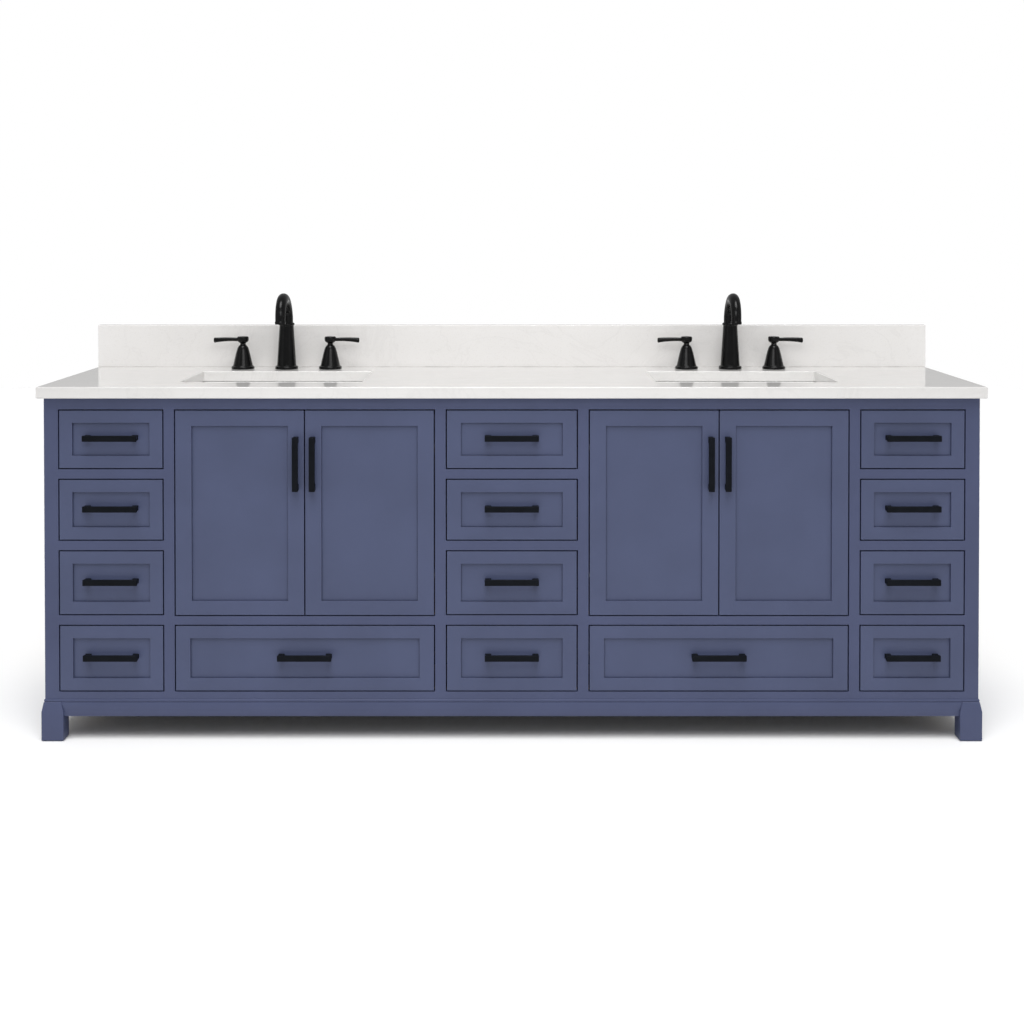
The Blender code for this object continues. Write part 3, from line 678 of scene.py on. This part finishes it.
def make_packings(front):
    """Strips that bring the slides and hinges out to the edge of each opening."""
    strips = bmesh.new()

    def strip(x, back, height, half):
        board(strips, x, (front, back), (height - half, height + half))

    slide_end = FRAME_BACK + SLIDE_PACKING[0]
    for side in SIDES.values():
        for start, stop in ((PARTITION_NEAR[1], BAY[0]), (BAY[1], PARTITION_FAR[0])):
            x = (side * start, side * stop)
            strip(x, slide_end, middle_of("drawer_wide_left").z, SLIDE_PACKING[1])
            for height in HINGE_HEIGHTS:
                strip(x, front + HINGE_PACKING[0], height, HINGE_PACKING[1])
        for row in range(1, 5):
            x = (side * OUTER_COLUMN_END, side * (BODY_HALF - SIDE_THICK))
            strip(x, slide_end, middle_of(f"drawer_left_{row}").z, SLIDE_PACKING[1])
    piece("slide_packings", strips, BIRCH[1], bevel=0.0006)


# ---------- feet
def foot_mesh(side, outer, front, back, top_back):
    """Square foot, straight below and drawn in above its knee, standing on a thin glide."""
    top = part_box("foot_front_left")[1].z
    levels = (
        (GLIDE_HEIGHT, FOOT_INNER, outer, front),
        (FOOT_KNEE, FOOT_INNER, outer, front),
        (top, FOOT_INNER + FOOT_TOP_INSET, BODY_HALF + FOOT_TOP_PROUD, front + top_back),
    )
    return loft([[(side * x0, y0, z), (side * x1, y0, z), (side * x1, back, z), (side * x0, back, z)]
                 for z, x0, x1, y0 in levels])


def make_feet():
    glides = bmesh.new()
    for name, side in SIDES.items():
        low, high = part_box(f"foot_front_{name}")
        outer = max(abs(low.x), abs(high.x))
        front = foot_mesh(side, outer, low.y, high.y, FOOT_TOP_BACK)
        # Feet take the darker paint copy, partly painted shade at the bottom.
        piece(f"foot_front_{name}_painted", front, FRAME_PAINT_AND_SHADE, stands_for=[f"foot_front_{name}"],
              bevel=0.0022, segments=3)
        rear = foot_mesh(side, outer, WALL - FOOT_DEPTH, WALL - REAR_FOOT_SET, 0.0)
        piece(f"foot_rear_{name}_painted", rear, FRAME_PAINT_AND_SHADE, bevel=0.0022, segments=3)
        for y in ((low.y + high.y) / 2, WALL - FOOT_DEPTH / 2):
            turned((side * GLIDE_X, y), ((0.0145, 0.0), (0.0155, 0.0006), (0.0155, 0.003)), 0.0, 24, glides)
    rail = bmesh.new()
    inner = BODY_HALF - SIDE_THICK - CLEAR
    board(rail, (-inner, inner), (WALL - SIDE_THICK, WALL), (APRON_BOTTOM, DECK_BOTTOM - CLEAR))
    piece("rear_rail_painted", rail, PAINT, stands_for=["rear_base"], bevel=0.0008)
    piece("foot_glides", glides, PLASTIC)


# ---------- pulls
def cap_outline(outer, shrink):
    """Outline of a thickened end, (along, across): square outside, hollowed to the bar's width inside."""
    half = CAP[1] / 2 - shrink
    inner = outer - CAP[0]
    waist = CAP[1] / 2 - 0.002 - shrink
    hollow = 0.0045
    corner = 0.0016
    upper = []
    for t in spaced(0, 1, 6):
        upper.append((inner + hollow * t, waist + (half - waist) * (1 - math.cos(math.pi / 2 * t))))
    for angle in spaced(math.pi / 2, 0, 6):
        upper.append((outer - shrink - corner * (1 - math.cos(angle)), half - corner * (1 - math.sin(angle))))
    return upper + [(along, -across) for along, across in reversed(upper)]


def make_pull(name, body, upright):
    """Flat bar with softened edges, thickened ends and two posts that flare where they meet the face."""
    low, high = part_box(name)
    centre = (low + high) / 2
    front = low.y
    reach = high.y + CLEAR - front
    half = BAR[0] / 2

    def place(along, across, depth):
        if upright:
            return centre.x + across, front + depth, centre.z + along
        return centre.x + along, front + depth, centre.z + across

    def block(sections, half_along, half_across, shift=0.0):
        rings = []
        for depth, grow in sections:
            outline = round_rectangle((shift, 0.0), half_along + grow, half_across + grow, 0.0016, 0.0, 4)
            rings.append([place(a, b, depth) for a, b, _ in outline])
        loft(rings, mesh=mesh)

    mesh = bmesh.new()
    bar = ((0.0, -0.0012), (0.0003, -0.0005), (0.0012, 0.0), (0.0068, 0.0), (0.0077, -0.0005),
           (BAR[2], -0.0012))
    block(bar, half, BAR[1] / 2)
    near, far = CAP_DEPTH
    cap = ((near, 0.001), (near + 0.0003, 0.0004), (near + 0.001, 0.0),
           (far - 0.001, 0.0), (far - 0.0003, 0.0004), (far, 0.001))
    post = ((0.004, 0.0), (reach - 0.006, 0.0), (reach - 0.0036, 0.0003), (reach - 0.0016, 0.0012),
            (reach - 0.0006, 0.002), (reach, 0.0021))
    for end in (-1, 1):
        rings = [[place(end * a, b, depth) for a, b in cap_outline(half - CAP[2], shrink)]
                 for depth, shrink in cap]
        loft(rings, mesh=mesh)
        block(post, POST[0] / 2, POST[1] / 2, end * (half - POST[2] - POST[0] / 2))
    piece(name + "_bar", mesh, BLACK, body, [name], smooth_angle=50)


# ---------- drawers
def box_ranges(name):
    """Outer ranges of the wooden box behind a drawer front."""
    x, z = front_box("drawer_" + name)
    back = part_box("drawer_" + name)[1].y
    side_gap = SLIDE_GAP - REVEAL
    return (x[0] + side_gap, x[1] - side_gap), (FRAME_BACK, back), (z[0] + BOX_LIFT, z[1] - BOX_DROP)


def tail_heights(z, count):
    """(centre, half width at the root, half width at the tip) of each dovetail in a board's height."""
    pitch = (z[1] - z[0]) / count
    tip = pitch * 0.37
    return [(z[0] + pitch * (k + 0.5), tip - BOX_WALL / 7, tip) for k in range(count)]


def side_outline(y, z, count):
    """Outline of a side board whose two ends are cut into dovetails."""
    points = []
    for centre, root, tip in tail_heights(z, count):
        points += [(y[1] - BOX_WALL, centre - root), (y[1], centre - tip), (y[1], centre + tip),
                   (y[1] - BOX_WALL, centre + root)]
    outline = [(y[0] + BOX_WALL, z[0]), (y[1] - BOX_WALL, z[0]), *points, (y[1] - BOX_WALL, z[1]),
               (y[0] + BOX_WALL, z[1])]
    for centre, root, tip in reversed(tail_heights(z, count)):
        outline += [(y[0] + BOX_WALL, centre + root), (y[0], centre + tip), (y[0], centre - tip),
                    (y[0] + BOX_WALL, centre - root)]
    return outline


def add_pins(mesh, x, tip_y, root_y, z, count):
    """Wedges between the dovetails at one corner of the box, a hair clear of them."""
    hair = 0.00012
    tails = tail_heights(z, count)
    edges = [(z[0], z[0])]
    for centre, root, tip in tails:
        edges.append((centre - root - hair, centre - tip - hair))
        edges.append((centre + root + hair, centre + tip + hair))
    edges.append((z[1], z[1]))
    for lower, upper in zip(edges[::2], edges[1::2]):
        outline = [(root_y, lower[0]), (tip_y, lower[1]), (tip_y, upper[1]), (root_y, upper[0])]
        prism(mesh, outline, 0, *x)


def make_drawer(name):
    body = "drawer_" + name
    x, z = front_box(body)
    stile = DRAWER_STILES[name.split("_")[0]]
    mesh = framed_panel(facing_front, x, z, FRAME_THICK, stile, DRAWER_RAIL, DRAWER_RAIL)
    piece(body + "_front", mesh, PAINT, body, [body], level=True)
    make_pull("pull_" + name, body, upright=False)

    bx, by, bz = box_ranges(name)
    count = max(3, round((bz[1] - bz[0]) / TAIL_PITCH))
    sides = bmesh.new()
    pins = bmesh.new()
    for end, inward in ((bx[0], BOX_WALL), (bx[1], -BOX_WALL)):
        wall = sorted((end, end + inward))
        prism(sides, side_outline(by, bz, count), 0, *wall)
        add_pins(pins, wall, by[0], by[0] + BOX_WALL, bz, count)
        add_pins(pins, wall, by[1], by[1] - BOX_WALL, bz, count)
    piece(body + "_sides", sides, BIRCH[1], body, bevel=0.0003)
    piece(body + "_pins", pins, PINS, body)
    across = bmesh.new()
    inner = (bx[0] + BOX_WALL, bx[1] - BOX_WALL)
    board(across, inner, (by[0], by[0] + BOX_WALL), bz)
    board(across, inner, (by[1] - BOX_WALL, by[1]), bz)
    board(across, inner, (by[0] + BOX_WALL, by[1] - BOX_WALL), (bz[0] + BOX_FLOOR[0], bz[0] + BOX_FLOOR[1]))
    piece(body + "_ends_and_bottom", across, BIRCH[0], body, bevel=0.0004)
    make_slides(name, bx)


def make_slides(name, box_x):
    """Ball-bearing slides: a channel on the cabinet and a narrower one on each side of the box."""
    middle = middle_of("drawer_" + name).z
    length = [FRAME_BACK + end for end in SLIDE_SPAN]
    fixed, moving = bmesh.new(), bmesh.new()
    for wall, outward in ((box_x[0], -1), (box_x[1], 1)):
        rail = wall + outward * (SLIDE_GAP - CLEAR)
        prism(fixed, channel(rail, -outward, middle, SLIDE_PACKING[1], 0.006), 1, *length)
        prism(moving, channel(wall + outward * CLEAR, outward, middle, 0.0165, 0.0055), 1, *length)
    piece(f"slide_{name}_fixed", fixed, DARK, smooth_angle=30)
    piece(f"slide_{name}_moving", moving, DARK, "drawer_" + name, smooth_angle=30)


def channel(base, out, middle, half, depth):
    """C section open towards out, in (x, z), with lips that turn back in."""
    sheet, lip = 0.0012, 0.004
    lower = ((0.0, half), (depth, half), (depth, half - lip), (depth - sheet, half - lip),
             (depth - sheet, half - sheet), (sheet, half - sheet))
    return ([(base + out * reach, middle - height) for reach, height in lower]
            + [(base + out * reach, middle + height) for reach, height in reversed(lower)])


# ---------- doors
def make_door(which):
    body = "door_" + which
    x, z = front_box(body)
    mesh = framed_panel(facing_front, x, z, FRAME_THICK, DOOR_STILE, *DOOR_RAILS)
    piece(body + "_leaf", mesh, PAINT, body, [body], level=True)
    make_pull("pull_" + body, body, upright=True)
    hinge_x = max(x, key=abs) if which.endswith("outer") else min(x, key=abs)
    inward = 1 if abs(hinge_x - x[0]) < 1e-6 else -1
    cups, plates = bmesh.new(), bmesh.new()
    centre = hinge_x + inward * CUP_INSET
    wall = hinge_x - inward * REVEAL
    cup = ((CUP_RADIUS, -0.003), (CUP_RADIUS, 0.0008), (0.0165, 0.0012), (0.0125, 0.0013))
    for height in (z[0] + CUP_FROM_END, z[1] - CUP_FROM_END):
        loft([upright_ring(centre, height, r, FRAME_BACK + depth, 32) for r, depth in cup], mesh=cups)
        board(cups, (centre - 0.006, centre + 0.006), (FRAME_BACK - 0.001, FRAME_BACK + 0.0012),
              (height - 0.026, height + 0.026))
        for x0, x1, y0, y1, half in HINGE_PLATE:
            board(plates, (wall + inward * x0, wall + inward * x1), (FRAME_BACK + y0, FRAME_BACK + y1),
                  (height - half, height + half))
    piece(body + "_hinge_cups", cups, STEEL, body)
    piece(body + "_hinge_plates", plates, STEEL, bevel=0.0006)


# ---------- stone and basins
def faucet_places(name):
    """Centres of one faucet's three fittings on the countertop."""
    return [(FAUCET_X[name] + offset, FAUCET_Y) for offset in (-HANDLE_SPREAD, 0.0, HANDLE_SPREAD)]


def make_countertop():
    """Slab with eased edges; the walls of the two basin cut-outs take a lighter copy of the stone, painted
    light.
    """
    outlines = [rectangle_outline(TOP_LOW.x, TOP_HIGH.x, TOP_LOW.y, TOP_HIGH.y)]
    for name, middle in BASIN_MIDDLE.items():
        outlines.append(flattened(round_rectangle(middle, *BASIN_HALF, CUTOUT_CORNER, 0.0)))
        outlines += [flattened(circle(place, FAUCET_HOLE, 0.0, 24)) for place in faucet_places(name)]
    slab = filled_sheet(outlines, TOP_LOW.z, TOP_HIGH.z, 0.003, flat=True)
    for face in slab.faces:
        spot = face.calc_center_median()
        within = (TOP_LOW.y + 0.05 < spot.y < FAUCET_Y - 0.05) and abs(spot.x) < TOP_HIGH.x - 0.05
        # The cut-out walls get the lighter copy of the quartz: painted light on those faces.
        if within and abs(face.normal.z) < 0.5:
            face.material_index = 1
    piece("countertop_slab", slab, STONE, stands_for=["countertop"], smooth_angle=40, level=True,
          second_material=STONE_PAINTED_LIGHTER)


def make_backsplash():
    low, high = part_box("backsplash")
    mesh = bmesh.new()
    board(mesh, (low.x, high.x), (low.y, high.y), (low.z, high.z))
    # The backsplash takes the lighter copy of the quartz: painted light.
    piece("backsplash_slab", mesh, STONE_PAINTED_LIGHTER, stands_for=["backsplash"], bevel=0.0018, segments=4)
    bead = ((0.0005, -0.0002), (-0.0026, 0.0), (-0.0012, 0.0009), (-0.0003, 0.0024), (0.0005, 0.0028))
    seal = prism(bmesh.new(), [(low.y + out, TOP_HIGH.z + rise) for out, rise in bead], 0,
                 low.x + 0.001, high.x - 0.001)
    piece("backsplash_seal", seal, CAULK, smooth_angle=60)


# Rings of a bowl, up its inside, over the flange and down its outside: (set in at the sides, set in at
# front and back, corner radius, height), with heights from the floor, from the rim and from the floor again.
BOWL_INSIDE = (
    (0.062, 0.058, 0.05, 0.0052), (0.042, 0.038, 0.05, 0.0085), (0.028, 0.024, 0.046, 0.019),
    (0.02, 0.016, 0.036, 0.038), (0.008, 0.006, 0.022, 0.09),
)
BOWL_RIM = (
    (0.004, 0.004, 0.014, -0.006), (0.0035, 0.0035, 0.012, -0.0012), (0.002, 0.002, 0.012, 0.0),
    (-0.019, -0.019, 0.035, 0.0), (-0.02, -0.02, 0.036, -0.001), (-0.02, -0.02, 0.036, -0.011),
    (-0.018, -0.018, 0.034, -0.012), (-0.008, -0.008, 0.032, -0.0125), (-0.0055, -0.0055, 0.032, -0.016),
)
BOWL_OUTSIDE = (
    (0.004, 0.001, 0.04, 0.085), (0.016, 0.012, 0.048, 0.025), (0.036, 0.033, 0.055, -0.004),
)


def make_basin(name):
    """Glazed bowl with soft corners, a floor falling to the drain, and an overflow in its front wall."""
    low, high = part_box(f"basin_{name}")
    centre = tuple(BASIN_MIDDLE[name].xy)
    rim = high.z
    floor = low.z + BASIN_FLOOR
    half_x, half_y = BASIN_HALF

    def round_ring(radius, height):
        return radius, radius, radius, floor + height

    def walls(rows, base):
        return [(half_x - x, half_y - y, corner, base + height) for x, y, corner, height in rows]

    rings = [
        round_ring(DRAIN_RADIUS, -0.0105), round_ring(DRAIN_RADIUS, -0.001),
        round_ring(DRAIN_RADIUS + 0.001, 0.0), (0.075, 0.06, 0.055, floor + 0.0016),
        *walls(BOWL_INSIDE, floor), *walls(BOWL_RIM, rim), *walls(BOWL_OUTSIDE, floor),
        (0.06, 0.05, 0.045, floor - 0.0075), round_ring(DRAIN_RADIUS + 0.01, -0.0105),
    ]
    mesh = loft([round_rectangle(centre, *ring) for ring in rings], closed=True)
    bowl = piece(f"basin_{name}_bowl", mesh, GLAZE, stands_for=[f"basin_{name}"], smooth_angle=180)
    smooth = bowl.modifiers.new("Smooth glaze", "SUBSURF")
    smooth.levels = smooth.render_levels = 2
    make_overflow(name, centre, rim, half_y)
    make_drain(name, centre, floor)


def make_overflow(name, centre, rim, half_y):
    """Trim ring in the front wall of the bowl."""
    y = centre[1] - half_y + 0.0065
    z = rim - 0.03
    profile = ((0.0135, -0.004), (0.0135, 0.0012), (0.0125, 0.0022), (0.0105, 0.0022), (0.0095, 0.0012),
               (0.0095, -0.0035))
    ring = loft([upright_ring(centre[0], z, r, y + depth, 32) for r, depth in profile])
    piece(f"overflow_{name}", ring, DARK)


# Profiles of the drain, (radius, height from the bowl's floor).
DRAIN_FLANGE = ((0.0205, -0.012), (0.0205, -0.0002), (0.0225, 0.0004), (0.029, 0.0006), (0.0325, 0.0012),
                (0.0318, 0.002), (0.024, 0.0016), (0.0195, 0.0004), (0.0192, -0.012))
DRAIN_BODY = ((0.0215, -0.055), (0.0215, -0.012), (0.019, -0.012), (0.019, -0.055))
TAILPIECE = ((0.016, -0.15), (0.016, -0.05), (0.0148, -0.05), (0.0148, -0.15))
DRAIN_NUT = ((0.031, -0.026), (0.031, -0.016), (0.0216, -0.016), (0.0216, -0.026))
STOPPER_CAP = ((0.0045, 0.0022), (0.029, 0.0022), (0.0306, 0.0028), (0.031, 0.0036), (0.03, 0.0048),
               (0.024, 0.006), (0.014, 0.0066))


def make_drain(name, centre, floor):
    """Flange in the bowl, threaded body and tailpiece below it, and the pop-up cap."""
    ring = turned(centre, DRAIN_FLANGE, floor, closed=True)
    piece(f"drain_flange_{name}", ring, DARK, smooth_angle=50)
    tube = turned(centre, DRAIN_BODY, floor, 32, closed=True)
    turned(centre, TAILPIECE, floor, 32, tube, closed=True)
    turned(centre, DRAIN_NUT, floor, 6, tube, closed=True)
    piece(f"drain_body_{name}", tube, DARK, smooth_angle=30)
    body = f"drain_stopper_{name}"
    low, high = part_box(body)
    cap = [(0.0045, low.z - floor), *STOPPER_CAP, (0.003, high.z - floor)]
    piece(body + "_cap", turned(centre, cap, floor), DARK, body, [body], smooth_angle=50)


# ---------- faucets
def sweep(path):
    """Round tube that bends front to back; the path is (point, radius, direction)."""
    across = Vector((1, 0, 0))
    rings = []
    for point, radius, ahead in path:
        up = ahead.cross(across)
        rings.append([point + radius * (math.cos(a) * across + math.sin(a) * up) for a in angles(40)])
    return loft(rings)


# Profiles of the faucets, (radius, height above the countertop or above the lever's underside).
SPOUT_BASE = ((0.016, -0.055), (0.016, 0.0), (0.033, 0.0), (0.033, 0.005), (0.0318, 0.0078),
              (0.029, 0.0088), (0.0276, 0.0098), (0.0268, 0.02), (0.0246, 0.056), (0.0222, 0.093),
              (0.0204, 0.124), (0.0206, 0.1258), (0.0224, 0.1272), (0.0232, 0.1296), (0.0224, 0.132),
              (0.0206, 0.1334), (0.0186, 0.1342))
SPOUT_LIP = ((0.0141, 0.145), (0.0146, 0.1436), (0.0152, 0.1428), (0.0152, 0.1372), (0.0148, 0.1362),
             (0.0138, 0.136), (0.0128, 0.1362), (0.0126, 0.1385))
AERATOR = ((0.0112, 0.1374), (0.0124, 0.1378), (0.0125, 0.1392))
ARCH_RADIUS = 0.055
ARCH_SPRING = 0.151
BELL = ((0.016, -0.055), (0.016, 0.0), (0.033, 0.0), (0.033, 0.0046), (0.032, 0.007), (0.0296, 0.0082),
        (0.028, 0.01), (0.0264, 0.017), (0.023, 0.032), (0.0192, 0.048), (0.0156, 0.06),
        (0.013, 0.065), (0.0104, 0.068), (0.0086, 0.0692), (0.0082, 0.0704), (0.0082, 0.0718))
HUB = ((0.0078, 0.0), (0.008, 0.0014), (0.0094, 0.003), (0.0128, 0.005), (0.0154, 0.0076),
       (0.0165, 0.0106), (0.0167, 0.016), (0.0162, 0.0192), (0.0144, 0.0212), (0.0075, 0.022),
       (0.001, 0.0222))
ARM_START = 0.006                       # where the lever's arm starts, from the hub's axis
ARM_RUN = 0.0755                        # how far it runs at full size
ARM_TIP = ((0.083, 0.93), (0.0841, 0.75), (0.0846, 0.45))      # rounded end: (reach, part of full size)
WASHER = ((0.0162, -0.006), (0.028, -0.006), (0.03, -0.003), (0.03, -CLEAR), (0.0162, -CLEAR))
NUT = ((0.017, -0.02), (0.024, -0.018), (0.024, -0.008), (0.02, -0.0062), (0.017, -0.0062))


def make_spout(name):
    x = FAUCET_X[name]
    base = TOP_HIGH.z + CLEAR
    rise = Vector((0, 0, 1))
    path = [(Vector((x, FAUCET_Y, base + z)), r, rise) for r, z in rounded(SPOUT_BASE, 0.0016, 3)]
    for angle in spaced(0, math.pi, 33):
        thinned = 0.003 * math.sin(min(angle, math.pi / 2)) + 0.0012 * max(0.0, angle / (math.pi / 2) - 1)
        point = Vector((x, FAUCET_Y - ARCH_RADIUS * (1 - math.cos(angle)),
                        base + ARCH_SPRING + ARCH_RADIUS * math.sin(angle)))
        path.append((point, 0.0184 - thinned, Vector((0, -math.sin(angle), math.cos(angle)))))
    end = FAUCET_Y - 2 * ARCH_RADIUS
    path += [(Vector((x, end, base + z)), r, -rise) for r, z in SPOUT_LIP]
    piece(f"faucet_spout_{name}_body", sweep(path), SATIN, stands_for=[f"faucet_spout_{name}"],
          smooth_angle=50)
    piece(f"aerator_{name}", turned((x, end), AERATOR, base, 32), STEEL)


def make_handle(name, water, outward):
    """Bell on the countertop, and the lever on it: a hub with an arm that widens to a rounded end."""
    label = f"{name}_{water}"
    x = FAUCET_X[name] + outward * HANDLE_SPREAD
    bell = turned((x, FAUCET_Y), rounded(BELL, 0.002, 3), TOP_HIGH.z + CLEAR)
    piece(f"handle_{label}_bell", bell, SATIN, stands_for=[f"handle_base_{label}"], smooth_angle=50)
    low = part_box(f"lever_{label}")[0].z
    lever = turned((x, FAUCET_Y), rounded(HUB, 0.002, 3), low)
    rings = []
    for reach, size in [(ARM_START + ARM_RUN * t, 1.0) for t in spaced(0, 1, 21)] + list(ARM_TIP):
        t = min(1.0, (reach - ARM_START) / ARM_RUN)
        rise = 0.012 + 0.0052 * t - 0.0067 * t * t
        tall = (0.005 + 0.001 * t + 0.0014 * t ** 3) * size
        wide = (0.005 + 0.0012 * t * t) * size
        rings.append([(x + outward * reach, FAUCET_Y + wide * math.cos(a), low + rise + tall * math.sin(a))
                      for a in angles(24)])
    loft(rings, mesh=lever)
    piece(f"lever_{label}_arm", lever, SATIN, f"lever_{label}", [f"lever_{label}"], smooth_angle=50)


def make_faucets():
    nuts = bmesh.new()
    for name in SIDES:
        make_spout(name)
        for water, outward in (("hot", -1), ("cold", 1)):
            make_handle(name, water, outward)
        for place in faucet_places(name):
            turned(place, WASHER, TOP_LOW.z, 32, nuts)
            turned(place, NUT, TOP_LOW.z, 12, nuts)
    piece("faucet_nuts", nuts, PLASTIC, smooth_angle=30)


# ---------- studio
def area_light(name, place, target, width, height, power):
    lamp = bpy.data.lights.new(name, "AREA")
    lamp.shape = "RECTANGLE"
    lamp.size, lamp.size_y = width, height
    lamp.energy = power
    thing = placed(name, lamp)
    thing.location = place
    thing.rotation_euler = (Vector(target) - Vector(place)).to_track_quat("-Z", "Y").to_euler()


def stage_object(name, mesh, material):
    data = bpy.data.meshes.new(name)
    mesh.to_mesh(data)
    mesh.free()
    data.materials.append(material)
    return placed(name, data)


def white_stage():
    """Pale floor disc and a far white dome that only the camera sees."""
    tree = Tree("pale_floor")
    tree.cloudy(tree.noise(tree.coordinates(), 2.0), (0.97, 0.97, 0.97), (0.98, 0.98, 0.98))
    tree.set(Roughness=0.9, Specular_IOR_Level=0.0)
    disc = bmesh.new()
    bmesh.ops.create_circle(disc, cap_ends=True, segments=96, radius=9.0)
    floor = stage_object("studio_floor", disc, tree.material)
    glow = Tree("white_backdrop")
    glow.set(Base_Color=(0, 0, 0, 1), Emission_Color=(1, 1, 1, 1), Emission_Strength=1.0,
             Specular_IOR_Level=0.0)
    sphere = bmesh.new()
    bmesh.ops.create_uvsphere(sphere, u_segments=48, v_segments=24, radius=30.0)
    dome = stage_object("studio_dome", sphere, glow.material)
    dome.visible_diffuse = dome.visible_glossy = dome.visible_shadow = dome.visible_transmission = False


def make_studio():
    scene = bpy.context.scene
    world = bpy.data.worlds.new("studio")
    world.use_nodes = True
    background = world.node_tree.nodes["Background"]
    background.inputs["Color"].default_value = (1.0, 1.0, 1.0, 1.0)
    background.inputs["Strength"].default_value = 0.42
    scene.world = world
    scene.view_settings.view_transform = "Standard"
    white_stage()
    sky = bpy.data.lights.new("soft sun", "SUN")
    sky.energy = 2.08
    sky.angle = math.radians(34)
    placed("soft sun", sky).rotation_euler = (math.radians(22), 0.0, 0.0)
    area_light("middle", (0.0, -1.9, 2.0), (0, 0, 0.6), 1.4, 0.8, 13)
    for side in (-1, 1):
        area_light(f"strip {side}", (side * 6.0, -5.0, 2.6), (0, 0, 2.6), 0.35, 5.0, 14)


def make_camera():
    """Eye a little over counter height, nearly level, with the lens shifted down to the whole piece."""
    camera = bpy.data.cameras.new("camera")
    camera.sensor_width = 36.0
    camera.lens = 48.89
    camera.shift_y = -0.2501
    thing = placed("camera", camera)
    thing.location = (0.0005, TOP_LOW.y - 3.555, TOP_HIGH.z + 0.3916)
    thing.rotation_euler = (math.radians(90.0 - 0.9), 0.0, 0.0)
    bpy.context.scene.camera = thing


# ---------- assembly
make_camera()
make_studio()
make_face_frame()
make_base_moulding()
make_side_panels()
make_back_panel()
make_carcass()
make_feet()
for drawer in DRAWERS:
    make_drawer(drawer)
for door in DOORS:
    make_door(door)
make_countertop()
make_backsplash()
for side_name in SIDES:
    make_basin(side_name)
make_faucets()
